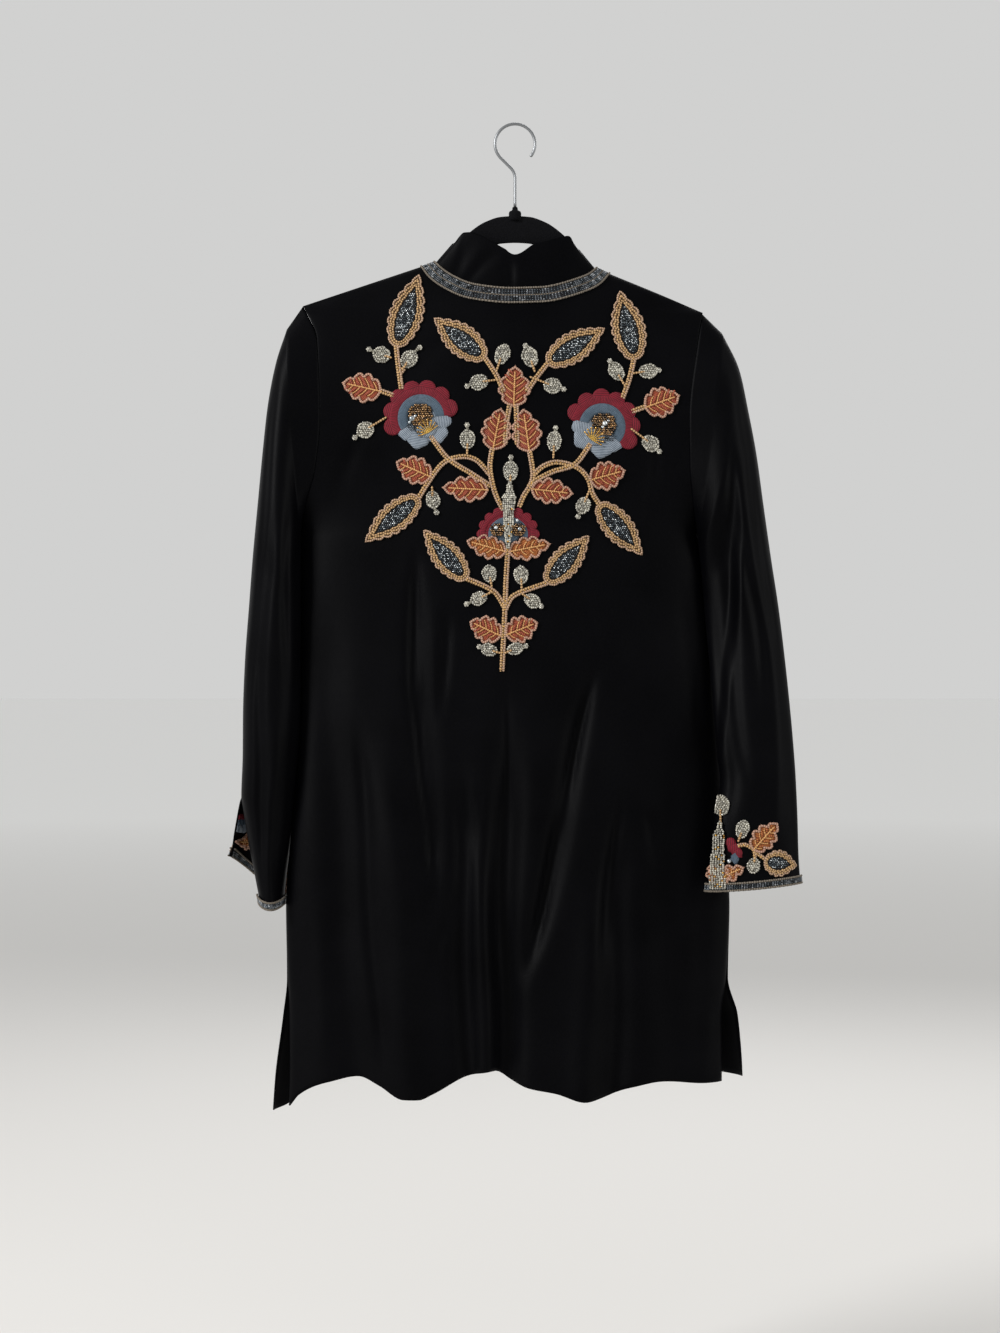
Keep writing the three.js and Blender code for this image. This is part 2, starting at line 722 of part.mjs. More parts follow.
function fromSolid(solid) {
  const mesh = solid.getMesh();
  const geometry = new THREE.BufferGeometry();
  geometry.setAttribute('position', new THREE.Float32BufferAttribute(mesh.vertProperties, 3));
  geometry.setIndex(Array.from(mesh.triVerts));
  return geometry;
}

// Raised embroidery, drawn flat: x, and height z on the body, with the cord's thickness as depth.
// Most of it is worked on the left and mirrored about the spray's centre line.
const sprayCentreX = -6;
const mirrorX = (x) => 2 * sprayCentreX - x;

function plate(outline, height) {
  const shape = new THREE.Shape(outline.map(([x, z]) => new THREE.Vector2(x, z)));
  const geometry = new THREE.ExtrudeGeometry(shape, { depth: height, bevelEnabled: false });
  return solidOf(geometry);
}

// A pointed leaf or a round-ended bud, from its base to its tip
function leafOutline(row, steps) {
  const along = new THREE.Vector2(row.tipX - row.baseX, row.tipZ - row.baseZ);
  const length = along.length();
  along.normalize();
  const across = new THREE.Vector2(-along.y, along.x);
  const half = (t) => (row.width / 2) * Math.sin(Math.PI * t ** 0.85) ** 0.75;
  const place = (t, sign) => [
    row.baseX + along.x * length * t + across.x * sign * half(t),
    row.baseZ + along.y * length * t + across.y * sign * half(t),
  ];
  const outline = [place(0, 0)];
  for (let k = 1; k < steps; k += 1) outline.push(place(k / steps, -1));
  outline.push(place(1, 0));
  for (let k = steps - 1; k > 0; k -= 1) outline.push(place(k / steps, 1));
  return outline;
}

const stemStep = 18; // distance between the corners of a stem

function stemPlate(stops) {
  const points = stops.map(([x, z]) => new THREE.Vector3(x, z, 0));
  const curve = new THREE.CatmullRomCurve3(points, false, 'centripetal');
  const steps = Math.max(2, Math.round(curve.getLength() / stemStep));
  const left = [];
  const right = [];
  for (let k = 0; k <= steps; k += 1) {
    const at = curve.getPointAt(k / steps);
    const along = curve.getTangentAt(k / steps);
    left.push([at.x - (along.y * cordWidth) / 2, at.y + (along.x * cordWidth) / 2]);
    right.unshift([at.x + (along.y * cordWidth) / 2, at.y - (along.x * cordWidth) / 2]);
  }
  return plate([...left, ...right], cordHeight);
}

// A scalloped round, or a plain one where it has no lobes, whole or half
function roundPlate(x, z, radius, lobes, height, half = false) {
  const lobeDepth = lobes > 0 ? 4 : 0;
  const steps = lobes > 0 ? lobes * 2 : 8;
  const whole = !half;
  const to = half ? Math.PI : 2 * Math.PI;
  const outline = whole ? [] : [[x, z]];
  for (let k = 0; k <= steps - (whole ? 1 : 0); k += 1) {
    const turn = (to * k) / steps;
    const reach = radius - lobeDepth + lobeDepth * (k % 2);
    outline.push([x + reach * Math.cos(turn), z + reach * Math.sin(turn)]);
  }
  return plate(outline, height);
}

const leafRows = table('tipX tipZ baseX baseZ width', [
  [-80, -198, -29, -238, 28],
  [-148, -417, -94, -376, 28],
  [-89, -407, -49, -454, 28],
  [-172, -260, -132, -270, 20],
  [-118, -339, -82, -352, 19],
  [-72, -363, -24, -367, 19],
  [-13, -287, -22, -330, 19],
  [-49, -418, -10, -425, 18],
  [-46, -495, -13, -511, 19],
  [-143, -226, -128, -243, 15],
  [-106, -226, -100, -243, 15],
  [-13, -224, -18, -243, 15],
  [-38, -252, -36, -270, 15],
  [-157, -302, -143, -315, 15],
  [-47, -302, -46, -324, 15],
  [-80, -386, -82, -368, 14],
  [-24, -455, -22, -437, 13],
  [-39, -480, -31, -469, 13],
  [-24, -531, -16, -519, 12],
]);
const singleLeafRows = table('tipX tipZ baseX baseZ width', [
  [-94, -155, -118, -226, 31],
  [105, -169, 117, -240, 31],
  [-6, -243, -6, -285, 26],
  [-6, -331, -6, -358, 17],
]);

// Couched cords of the left half, each from the plant to the piece that it carries
const stemStops = [
  [[-6, -320], [-20, -305], [-26, -262], [-38, -240], [-30, -238]],
  [[-6, -430], [-8, -405], [-17, -380], [-24, -355], [-26, -326], [-23, -322]],
  [[-18, -358], [-44, -337], [-68, -341], [-82, -356], [-92, -377]],
  [[-84, -331], [-64, -338]],
  [[-90, -302], [-106, -262], [-117, -224]],
  [[-100, -277], [-101, -240]],
  [[-105, -262], [-128, -242]],
  [[-108, -270], [-134, -269]],
  [[-116, -306], [-146, -313]],
  [[-66, -341], [-50, -335], [-46, -322]],
  [[-70, -290], [-50, -280], [-37, -268]],
  [[-50, -280], [-30, -262], [-18, -241]],
  [[-86, -352], [-81, -374]],
  [[-20, -366], [-26, -367]],
  [[-92, -352], [-80, -350]],
  [[-6, -480], [-20, -465], [-56, -446]],
  [[-6, -455], [-14, -440], [-20, -436]],
  [[-14, -468], [-34, -474]],
  [[-6, -505], [-14, -511]],
  [[-6, -515], [-16, -520]],
];
const middleStems = [
  [[-6, -283], [-6, -333]],
  [[-6, -356], [-6, -378]],
  [[-6, -380], [-6, -450], [-7, -500], [-9, -545]],
];
const sideFlower = { x: -91, z: -295, radius: 37, lobes: 8, disc: 12 };
const halfFlower = { z: -414, radius: 33, lobes: 7, discX: -17, discZ: -405, disc: 10 };
const largeLeafWidth = 24; // leaves wider than this have a smoother outline

function mirrored(row) {
  return { ...row, tipX: mirrorX(row.tipX), baseX: mirrorX(row.baseX) };
}

function sprayPlates() {
  const plates = [];
  const leaves = [...leafRows, ...leafRows.map(mirrored), ...singleLeafRows];
  for (const row of leaves) {
    const steps = row.width > largeLeafWidth ? 6 : 3;
    plates.push(plate(leafOutline(row, steps), leafHeight + row.width / 100));
  }
  const stems = [...stemStops, ...stemStops.map((stops) => stops.map(([x, z]) => [mirrorX(x), z])),
    ...middleStems];
  stems.forEach((stops) => plates.push(stemPlate(stops)));
  const { x: flowerX, z, radius, lobes, disc } = sideFlower;
  for (const x of [flowerX, mirrorX(flowerX)]) {
    plates.push(roundPlate(x, z, radius, lobes, petalHeight), roundPlate(x, z, disc, 0, discHeight));
  }
  const half = halfFlower;
  plates.push(roundPlate(sprayCentreX, half.z, half.radius, half.lobes, petalHeight, true));
  for (const x of [half.discX, mirrorX(half.discX)]) {
    plates.push(roundPlate(x, half.discZ, half.disc, 0, discHeight));
  }
  return plates;
}

// The cuff motif: its sizes are millimetres round the sleeve, and up from the braid
const cuffLeafRows = table('tipX tipZ baseX baseZ width', [
  [0, 78, 0, 55, 15],
  [-22, 52, 0, 30, 15],
  [44, 56, 8, 34, 16],
  [24, 66, 2, 46, 13],
  [-38, 22, 3, 14, 16],
  [50, 16, -3, 16, 20],
]);
const cuffStem = [[0, 8], [0, 60]];
const cuffFlower = { x: 8, z: 30, radius: 13 };

function cuffPlates(flip) {
  const leaves = cuffLeafRows.map((row) => ({ ...row, tipX: flip * row.tipX, baseX: flip * row.baseX }));
  return [
    stemPlate(cuffStem.map(([x, z]) => [flip * x, z])),
    roundPlate(flip * cuffFlower.x, cuffFlower.z, cuffFlower.radius, 0, petalHeight),
    ...leaves.map((row) => plate(leafOutline(row, 4), leafHeight)),
  ];
}

// Long edges are halved until none is longer than this, so that a plate can follow the cloth
function shortenEdges(geometry, longest) {
  let points = [];
  const position = geometry.getAttribute('position');
  for (let k = 0; k < position.count; k += 1) {
    points.push(new THREE.Vector3().fromBufferAttribute(position, k));
  }
  let faces = [];
  for (let k = 0; k < geometry.index.count; k += 3) {
    faces.push([0, 1, 2].map((c) => geometry.index.getX(k + c)));
  }
  for (let again = true; again;) {
    const middles = new Map();
    const middleOf = (a, b) => {
      const key = a < b ? `${a} ${b}` : `${b} ${a}`;
      if (points[a].distanceTo(points[b]) <= longest) return -1;
      if (!middles.has(key)) {
        middles.set(key, points.push(points[a].clone().lerp(points[b], 0.5)) - 1);
      }
      return middles.get(key);
    };
    const next = [];
    for (const face of faces) next.push(...splitFace(face, middleOf));
    again = middles.size > 0;
    faces = next;
  }
  return geometryOf(points, faces);
}

function splitFace([a, b, c], middleOf) {
  const [ab, bc, ca] = [middleOf(a, b), middleOf(b, c), middleOf(c, a)];
  const cut = (ab >= 0) + (bc >= 0) + (ca >= 0);
  if (cut === 0) return [[a, b, c]];
  if (cut === 3) return [[a, ab, ca], [ab, b, bc], [ca, bc, c], [ab, bc, ca]];
  if (bc >= 0 && ab < 0) return splitTurned([b, c, a], [bc, ca, ab]);
  if (ca >= 0 && bc < 0) return splitTurned([c, a, b], [ca, ab, bc]);
  return splitTurned([a, b, c], [ab, bc, ca]);
}

// The first edge is cut, and the second one too if two are cut
function splitTurned([a, b, c], [ab, bc, ca]) {
  if (bc >= 0) return [[ab, b, bc], [a, ab, bc], [a, bc, c]];
  if (ca >= 0) return [[a, ab, ca], [ab, b, c], [ab, c, ca]];
  return [[a, ab, c], [ab, b, c]];
}

// Plates are joined, parted into bodies from left to right, and laid on the cloth
function laid(plates, place, longest) {
  const joined = plates.reduce((sum, next) => sum.add(next));
  const bodies = joined.decompose().map(fromSolid);
  return bodies.map((flat) => {
    const fine = shortenEdges(flat, longest);
    const position = fine.getAttribute('position');
    for (let k = 0; k < position.count; k += 1) {
      const at = place(position.getX(k), position.getY(k), position.getZ(k));
      position.setXYZ(k, at.x, at.y, at.z);
    }
    return faceOut(mergeVertices(fine, 1e-3));
  });
}

const backClearance = laidClearance + 0.3; // the body's curve needs a little more
const cuffClearance = laidClearance + 0.6;
const onBack = (x, z, high) => onBody(backSide, x, z, backClearance + high);

// Where each cuff motif has its middle, of once round, how far it is round the cuff there, and
// which way it runs
const cuffMotifs = {
  right: { middle: 0.34, round: 220, flip: -1 },
  left: { middle: 0.68, round: 200, flip: 1 },
};
const motifRingRun = 27; // about the distance between the rings that the motif covers

function onCuff(hand) {
  const last = sleeveHands[hand].rings.length;
  const braidTop = cuffBraidWidth + 1;
  const { middle, round } = cuffMotifs[hand];
  return (x, up, high) => onSleeve(hand, middle + x / round,
    last - (up + braidTop) / motifRingRun, cuffClearance + high);
}

const jacket = new THREE.Group();

function add(name, geometry, finish) {
  const mesh = new THREE.Mesh(geometry, new THREE.MeshStandardMaterial(finish));
  mesh.name = name;
  jacket.add(mesh);
}

const crepe = { color: 0x14151a, roughness: 0.86, metalness: 0 };
const flocking = { color: 0x0b0b0d, roughness: 0.95, metalness: 0 };
const steelWire = { color: 0xb9bbbd, roughness: 0.3, metalness: 1 };
const braidFinish = { color: 0x8d7c6c, roughness: 0.6, metalness: 0.1 };
const threadFinish = { color: 0xb8895a, roughness: 0.65, metalness: 0 };

// How many columns each panel and each neck braid has
const columns = { back: 37, front: 17, backBraid: 25, frontBraid: 13 };
const sprayEdge = 30; // longest edges of the laid pieces
const cuffEdge = 22;
const backNeckColumns = [neckLeftX, neckRightX];

add('back', panel(backSide,
  turnsBetween(-quarter, quarter, columns.back, columnsAt(backSide, backNeckColumns))), crepe);
add('front-left', panel(frontSide, turnsBetween(-quarter, centreTurn - centreGap, columns.front,
  columnsAt(frontSide, leftNeckColumns))), crepe);
add('front-right', panel(frontSide, turnsBetween(centreTurn + centreGap, quarter, columns.front,
  columnsAt(frontSide, rightNeckColumns))), crepe);
add('sleeve-left', sleeve('left'), crepe);
add('sleeve-right', sleeve('right'), crepe);
add('collar', collar(), crepe);
add('neck-braid-back', neckBraid(backSide, backNeck, columns.backBraid), braidFinish);
add('neck-braid-left', neckBraid(frontSide, leftNeck, columns.frontBraid), braidFinish);
add('neck-braid-right', neckBraid(frontSide, rightNeck, columns.frontBraid), braidFinish);
add('cuff-braid-left', cuffBraid('left'), braidFinish);
add('cuff-braid-right', cuffBraid('right'), braidFinish);
laid(sprayPlates(), onBack, sprayEdge)
  .forEach((body, k) => add(`spray-${k + 1}`, body, threadFinish));
for (const [hand, { flip }] of Object.entries(cuffMotifs)) {
  laid(cuffPlates(flip), onCuff(hand), cuffEdge)
    .forEach((body, k) => add(`cuff-motif-${hand}-${k + 1}`, body, threadFinish));
}
add('hanger', hanger(), flocking);
add('hook', hook(), steelWire);

export default jacket;
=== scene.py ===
# Embroidered black jacket on a flocked hanger, seen from its embroidered back.
# Sizes are in millimetres until a mesh is made; the mesh itself is in metres.
import bpy
import math
import numpy as np
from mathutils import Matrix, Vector


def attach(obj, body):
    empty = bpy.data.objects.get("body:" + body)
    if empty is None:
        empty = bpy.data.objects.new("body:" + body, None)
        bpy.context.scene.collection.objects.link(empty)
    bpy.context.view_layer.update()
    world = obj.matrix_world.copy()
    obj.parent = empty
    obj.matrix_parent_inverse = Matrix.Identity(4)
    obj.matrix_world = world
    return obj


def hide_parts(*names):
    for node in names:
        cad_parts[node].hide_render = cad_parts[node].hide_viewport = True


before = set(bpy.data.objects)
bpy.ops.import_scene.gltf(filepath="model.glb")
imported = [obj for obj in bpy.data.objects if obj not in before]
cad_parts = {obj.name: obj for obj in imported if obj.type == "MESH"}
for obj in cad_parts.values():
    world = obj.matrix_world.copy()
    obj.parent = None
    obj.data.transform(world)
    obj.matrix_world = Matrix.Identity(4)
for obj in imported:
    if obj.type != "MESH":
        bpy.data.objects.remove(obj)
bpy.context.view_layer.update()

metre = 0.001
rng = np.random.default_rng(11)
print("frame loaded")


# Camera: straight on to the embroidered back, one pixel of the 1000 wide frame to a millimetre
cameraSetup = {"distance": 2.6, "frameHeight": 1.333, "x": -0.015, "z": -0.541, "sensor": 36.0}
cameraData = bpy.data.cameras.new("photoCamera")
cameraData.sensor_fit = "AUTO"
cameraData.sensor_width = cameraSetup["sensor"]
cameraData.lens = cameraSetup["sensor"] * cameraSetup["distance"] / cameraSetup["frameHeight"]
cameraObject = bpy.data.objects.new("photoCamera", cameraData)
cameraObject.location = (cameraSetup["x"], -cameraSetup["distance"], cameraSetup["z"])
cameraObject.rotation_euler = (math.pi / 2, 0, 0)
bpy.context.collection.objects.link(cameraObject)
bpy.context.scene.camera = cameraObject


# Small helpers for numbers
def curveThrough(at, value):
    at, value = np.array(at, float), np.array(value, float)
    order = np.argsort(at)
    at, value = at[order], value[order]
    run = np.diff(at)
    chord = np.diff(value) / run
    slope = np.zeros(len(at))
    slope[0], slope[-1] = chord[0], chord[-1]
    product = chord[:-1] * chord[1:]
    total = np.where(np.abs(chord[:-1] + chord[1:]) < 1e-12, 1.0, chord[:-1] + chord[1:])
    slope[1:-1] = np.where(product > 0, 2 * product / total, 0.0)

    def read(place):
        place = np.clip(np.asarray(place, float), at[0], at[-1])
        i = np.clip(np.searchsorted(at, place, side="right") - 1, 0, len(at) - 2)
        t = (place - at[i]) / run[i]
        rise = 3 * t**2 - 2 * t**3
        bend = (t - 2 * t**2 + t**3) * slope[i] + (t**3 - t**2) * slope[i + 1]
        return value[i] + (value[i + 1] - value[i]) * rise + bend * run[i]

    return read


def columnCurve(rows, along, column):
    return curveThrough([row[along] for row in rows], [row[column] for row in rows])


def mix(a, b, t):
    return a + (b - a) * t


def ease(low, high, value):
    t = np.clip((np.asarray(value, float) - low) / (high - low), 0, 1)
    return t * t * (3 - 2 * t)


def unit(v):
    return v / np.maximum(np.linalg.norm(v, axis=-1, keepdims=True), 1e-9)


# Materials. A pattern's scale is worked out from its real size in millimetres
def linear(code):
    parts = [int(code[k : k + 2], 16) / 255 for k in (1, 3, 5)]
    return tuple(c / 12.92 if c <= 0.04045 else ((c + 0.055) / 1.055) ** 2.4 for c in parts) + (1.0,)


def addNode(tree, kind, settings=None, links=None):
    node = tree.nodes.new(kind)
    for name, value in (settings or {}).items():
        if name in node.inputs.keys():
            node.inputs[name].default_value = value
        else:
            setattr(node, name, value)
    for name, source in (links or {}).items():
        tree.links.new(source, node.inputs[name])
    return node


def startMaterial(name, settings):
    material = bpy.data.materials.new(name)
    material.use_nodes = True
    tree = material.node_tree
    shader = tree.nodes["Principled BSDF"]
    for key, value in settings.items():
        shader.inputs[key].default_value = value
    return material, tree, shader


def shadeBetween(tree, factor, low, high, start=0.3, end=0.7):
    ramp = addNode(tree, "ShaderNodeValToRGB", {}, {"Fac": factor})
    ramp.color_ramp.elements[0].position = start
    ramp.color_ramp.elements[0].color = linear(low)
    ramp.color_ramp.elements[1].position = end
    ramp.color_ramp.elements[1].color = linear(high)
    return ramp.outputs["Color"]


def noiseScale(size):
    return 1 / (size * metre)


def bandScale(pitch):
    return 0.314 / (pitch * metre)  # a wave texture of scale 0.314 has one band to each unit


# Wool crepe, woven from high-twist yarn: a fine pebbled face, matt with a faint bloom
crepeLook = {"dark": "#010102", "light": "#060608", "pebble": 1.6, "cloud": 70, "yarn": 0.9}


def makeCrepe():
    material, tree, shader = startMaterial(
        "woolCrepe",
        {"Roughness": 0.43, "IOR": 1.5, "Sheen Weight": 0.006, "Sheen Roughness": 0.3,
         "Sheen Tint": linear("#9a9cae"), "Specular IOR Level": 0.036},
    )
    place = addNode(tree, "ShaderNodeTexCoord")
    pebble = addNode(tree, "ShaderNodeTexNoise",
                     {"Scale": noiseScale(crepeLook["pebble"]), "Detail": 3.0, "Roughness": 0.6},
                     {"Vector": place.outputs["Object"]})
    cloud = addNode(tree, "ShaderNodeTexNoise",
                    {"Scale": noiseScale(crepeLook["cloud"]), "Detail": 2.0},
                    {"Vector": place.outputs["Object"]})
    grain = addNode(tree, "ShaderNodeMix", {"data_type": "FLOAT", "Factor": 0.45},
                    {"A": cloud.outputs["Fac"], "B": pebble.outputs["Fac"]})
    tree.links.new(shadeBetween(tree, grain.outputs["Result"], crepeLook["dark"], crepeLook["light"]),
                   shader.inputs["Base Color"])
    weft = addNode(tree, "ShaderNodeTexWave",
                   {"wave_type": "BANDS", "bands_direction": "Z", "Distortion": 2.5, "Detail": 1.0,
                    "Scale": bandScale(crepeLook["yarn"])},
                   {"Vector": place.outputs["Object"]})
    relief = addNode(tree, "ShaderNodeMix", {"data_type": "FLOAT", "Factor": 0.35},
                     {"A": pebble.outputs["Fac"], "B": weft.outputs["Fac"]})
    bump = addNode(tree, "ShaderNodeBump", {"Strength": 0.35, "Distance": 0.0004},
                   {"Height": relief.outputs["Result"]})
    tree.links.new(bump.outputs["Normal"], shader.inputs["Normal"])
    return material


# Embroidery thread, mercerised cotton or rayon: a soft lustre across parallel stitches
def makeThread(name, low, high, stitch, roughness=0.5):
    material, tree, shader = startMaterial(
        name, {"Roughness": roughness, "IOR": 1.5, "Specular IOR Level": 0.25, "Sheen Weight": 0.03,
               "Sheen Roughness": 0.4})
    place = addNode(tree, "ShaderNodeTexCoord")
    lines = addNode(tree, "ShaderNodeTexWave",
                    {"wave_type": "BANDS", "bands_direction": "X", "Distortion": 0.6, "Detail": 1.0,
                     "Scale": bandScale(stitch)},
                    {"Vector": place.outputs["UV"]})
    patch = addNode(tree, "ShaderNodeTexNoise", {"Scale": noiseScale(5), "Detail": 2.0},
                    {"Vector": place.outputs["Object"]})
    # The colour follows the stitch bands: a painted highlight along each stitch and painted shade between
    # stitches, mixed half and half with random patches of tone
    shade = addNode(tree, "ShaderNodeMix", {"data_type": "FLOAT", "Factor": 0.5},
                    {"A": lines.outputs["Fac"], "B": patch.outputs["Fac"]})
    tree.links.new(shadeBetween(tree, shade.outputs["Result"], low, high, 0.3, 0.68),
                   shader.inputs["Base Color"])
    bump = addNode(tree, "ShaderNodeBump", {"Strength": 0.55, "Distance": 0.0005},
                   {"Height": lines.outputs["Fac"]})
    tree.links.new(bump.outputs["Normal"], shader.inputs["Normal"])
    return material


# Glass and metal beads: small bright highlights, with a little change from bead to bead
def makeBead(name, low, high, metallic, roughness):
    material, tree, shader = startMaterial(
        name, {"Roughness": roughness, "Metallic": metallic, "IOR": 1.5, "Coat Weight": 0.4,
               "Coat Roughness": 0.1})
    place = addNode(tree, "ShaderNodeTexCoord")
    each = addNode(tree, "ShaderNodeTexNoise", {"Scale": noiseScale(2.2), "Detail": 0.0},
                   {"Vector": place.outputs["Object"]})
    tree.links.new(shadeBetween(tree, each.outputs["Fac"], low, high, 0.38, 0.62),
                   shader.inputs["Base Color"])
    return material


# Nylon flock on a moulded bar: very matt, with a soft rim
def makeFlock():
    material, tree, shader = startMaterial(
        "nylonFlock", {"Roughness": 0.95, "IOR": 1.5, "Sheen Weight": 0.08, "Sheen Roughness": 0.6,
                       "Sheen Tint": linear("#6c6c74"), "Specular IOR Level": 0.06})
    place = addNode(tree, "ShaderNodeTexCoord")
    nap = addNode(tree, "ShaderNodeTexNoise", {"Scale": noiseScale(0.9), "Detail": 4.0},
                  {"Vector": place.outputs["Object"]})
    tree.links.new(shadeBetween(tree, nap.outputs["Fac"], "#040405", "#0e0e10"),
                   shader.inputs["Base Color"])
    bump = addNode(tree, "ShaderNodeBump", {"Strength": 0.5, "Distance": 0.0005},
                   {"Height": nap.outputs["Fac"]})
    tree.links.new(bump.outputs["Normal"], shader.inputs["Normal"])
    return material


# Nickel-plated steel wire, drawn and bright
def makeWire():
    return startMaterial("nickelWire", {"Metallic": 1.0, "Roughness": 0.42,
                                        "Base Color": linear("#858789")})[0]


crepe = makeCrepe()
flock = makeFlock()
wire = makeWire()
goldCord = makeThread("goldTanCord", "#6b5236", "#bf9b6d", 2.6, 0.5)
edgeCord = makeThread("paleTanCord", "#7a604a", "#b5977d", 2.2, 0.5)
# Dark brown satin band laid under the leaf border's cords: its darkness is painted shade between the cords
paintedShadeSatin = makeThread("paintedShadeSatinStitch", "#3a2b1d", "#6e5438", 1.6, 0.6)
rustSatin = makeThread("rustSatinStitch", "#5c2014", "#a35238", 1.5, 0.5)
pinkCord = makeThread("pinkTanCord", "#82604f", "#b58f7a", 2.2, 0.5)
fanCord = makeThread("goldMetalCord", "#86651f", "#cfa84e", 1.6, 0.4)
veinCord = makeThread("goldVeinCord", "#a0703f", "#cfa069", 2.0, 0.45)
crimsonSatin = makeThread("crimsonSatinStitch", "#430812", "#781425", 1.8, 0.75)
slateSatin = makeThread("slateSatinStitch", "#2c3843", "#536473", 1.5, 0.6)
blueSatin = makeThread("greyBlueSatinStitch", "#4c5662", "#8b949d", 1.6, 0.6)
greyCord = makeThread("greyBeigeCord", "#4f4c43", "#8d897b", 1.8, 0.5)
braidCord = makeThread("braidEdgeCord", "#474139", "#786f63", 1.8, 0.6)
braidThread = makeThread("braidGroundThread", "#131417", "#26272c", 0.9, 0.7)
amberSatin = makeThread("amberSatinStitch", "#6a2c18", "#ad6a34", 1.6, 0.5)
goldKnot = makeBead("goldMetalBead", "#8a6220", "#dba94a", 0.7, 0.3)
greyBead = makeBead("greyGlassBead", "#76736a", "#b8b4a6", 0.1, 0.3)
gunmetalBead = makeBead("gunmetalBead", "#0d1013", "#3c454b", 0.7, 0.3)
silverBead = makeBead("silverLinedBead", "#7f888c", "#d3d8d9", 0.6, 0.25)
bronzeSequin = makeBead("bronzeSequin", "#241a12", "#8a6a44", 0.85, 0.25)
blueGreyBead = makeBead("blueGreyGlassBead", "#34383d", "#555a5f", 0.2, 0.4)
# Paler beads scattered at random through the braids: their paler colour is a painted glint
glintBead = makeBead("glassBeadPaintedGlint", "#5e6266", "#888b8d", 0.2, 0.4)
print("materials made")


# The body's form: the same sizes as its solids, with the finer creases added
bodyRows = [dict(zip(("z", "left", "right", "frontLeft", "frontRight"), row)) for row in (
    (-180, -212, 189, -212, 189), (-215, -197, 182, -197, 182), (-295, -193, 172, -193, 172),
    (-345, -198, 173, -198, 173), (-380, -208, 177, -208, 177), (-412, -214, 182, -214, 182),
    (-485, -214, 190, -214, 190), (-575, -214, 200, -214, 200), (-650, -218, 207, -218, 207),
    (-730, -226, 212, -226, 212), (-780, -229, 214.5, -229, 214.5), (-852, -227, 211, -228, 213),
    (-890, -225.5, 206.5, -232, 223), (-950, -225, 206.5, -240, 228), (-990, -226, 206, -243, 229),
)]
depthRows = [dict(zip(("z", "middle", "edge", "roundness"), row)) for row in (
    (-136, 24, 0.15, 1), (-180, 26, 0.15, 1), (-190, 26, 5.5, 1), (-215, 28, 13, 1),
    (-260, 30, 22, 1), (-300, 32, 25, 1), (-345, 34, 23, 1), (-375, 35, 16, 0.9),
    (-398, 35, 7, 0.65), (-412, 36, 0.15, 0.5), (-600, 39, 0.15, 0.5), (-852, 42, 0.15, 0.5),
    (-985, 44, 6, 0.5),
)]
backSide, frontSide = -1, 1
quarter = math.pi / 2
edgeOf = {
    backSide: (columnCurve(bodyRows, "z", "left"), columnCurve(bodyRows, "z", "right")),
    frontSide: (columnCurve(bodyRows, "z", "frontLeft"), columnCurve(bodyRows, "z", "frontRight")),
}
middleDepth = columnCurve(depthRows, "z", "middle")
edgeDepth = columnCurve(depthRows, "z", "edge")
roundness = columnCurve(depthRows, "z", "roundness")
shoulderLine = curveThrough(
    (-214, -200, -80, -50, 0, 50, 81, 172, 191),
    (-181.2, -176.5, -136.5, -126.5, -117, -129.5, -142.5, -180.5, -189.5))
# Wall, gap at a seam, height of the armpit, centre, and how far trim lies over or under the cloth's face
cloth = {"thickness": 1.3, "seam": 0.3, "armpit": -412, "centre": -5, "laid": 0.35, "under": 1.7}
foldKeys = ("topX", "topZ", "footX", "footZ", "depth", "width", "fadeIn")
hemZ = -960
neckEnds = (-80.0, 81.0)
shoulderEnds = {"left": -212, "right": 189}
# How high the cloth arches over the bar, and how far below the shoulder line each part has settled
formSpec = {"arch": 6.5, "archRun": 3.5, "fallRun": 60, "overBarRun": 40}
foldWander = {"size": 2.2, "length": 41}

# Main folds, then the finer creases that run into them
backFolds = [dict(zip(foldKeys, row)) for row in (
    (-8, -540, -11, -965, -15, 15, 170), (-33, -690, -29, -965, 7, 11, 110),
    (-101, -420, -76, -765, -5, 10, 90), (-56, -620, -44, -965, -9, 11, 90),
    (82, -520, 12, -850, -8, 12, 90), (105, -650, 98, -965, -9, 13, 120),
    (78, -700, 68, -965, 7, 15, 150), (-195, -440, -158, -965, -9, 19, 120),
    (-130, -560, -103, -965, 7, 18, 160), (150, -560, 158, -965, -6, 20, 160),
    (-8, -552, -11, -700, -3.4, 3.5, 40), (-101, -422, -99, -600, -4.6, 5, 40),
    (-99, -560, -84, -700, -4.4, 4.5, 50), (-84, -690, -76, -762, -3.8, 4, 40),
    (-67, -476, -75, -592, -3.6, 5, 40), (-53, -640, -33, -732, -3.8, 4, 30),
    (-38, -652, -36, -715, -2.6, 3.5, 20), (82, -530, 46, -686, -4.8, 5, 50),
    (46, -680, 10, -845, -4.6, 5, 40), (105, -658, 85, -845, -4.2, 5, 50),
    (130, -676, 142, -740, -3.4, 5, 30), (142, -294, 130, -398, -3.2, 7, 50),
    (130, -390, 100, -446, -3.0, 7, 30), (-158, -579, -131, -940, -4.6, 7, 80),
    (-53, -757, -85, -838, -2.2, 5, 30), (-150, -300, -178, -380, -2.0, 9, 40),
    (168, -450, 190, -640, -2.6, 9, 60), (-205, -470, -214, -640, -2.4, 9, 60),
    (60, -430, 88, -560, -1.6, 9, 60), (-40, -190, -110, -260, -0.9, 12, 30),
    (186, -700, 180, -950, -3.2, 10, 80), (-190, -760, -196, -950, 3.0, 10, 80),
)]
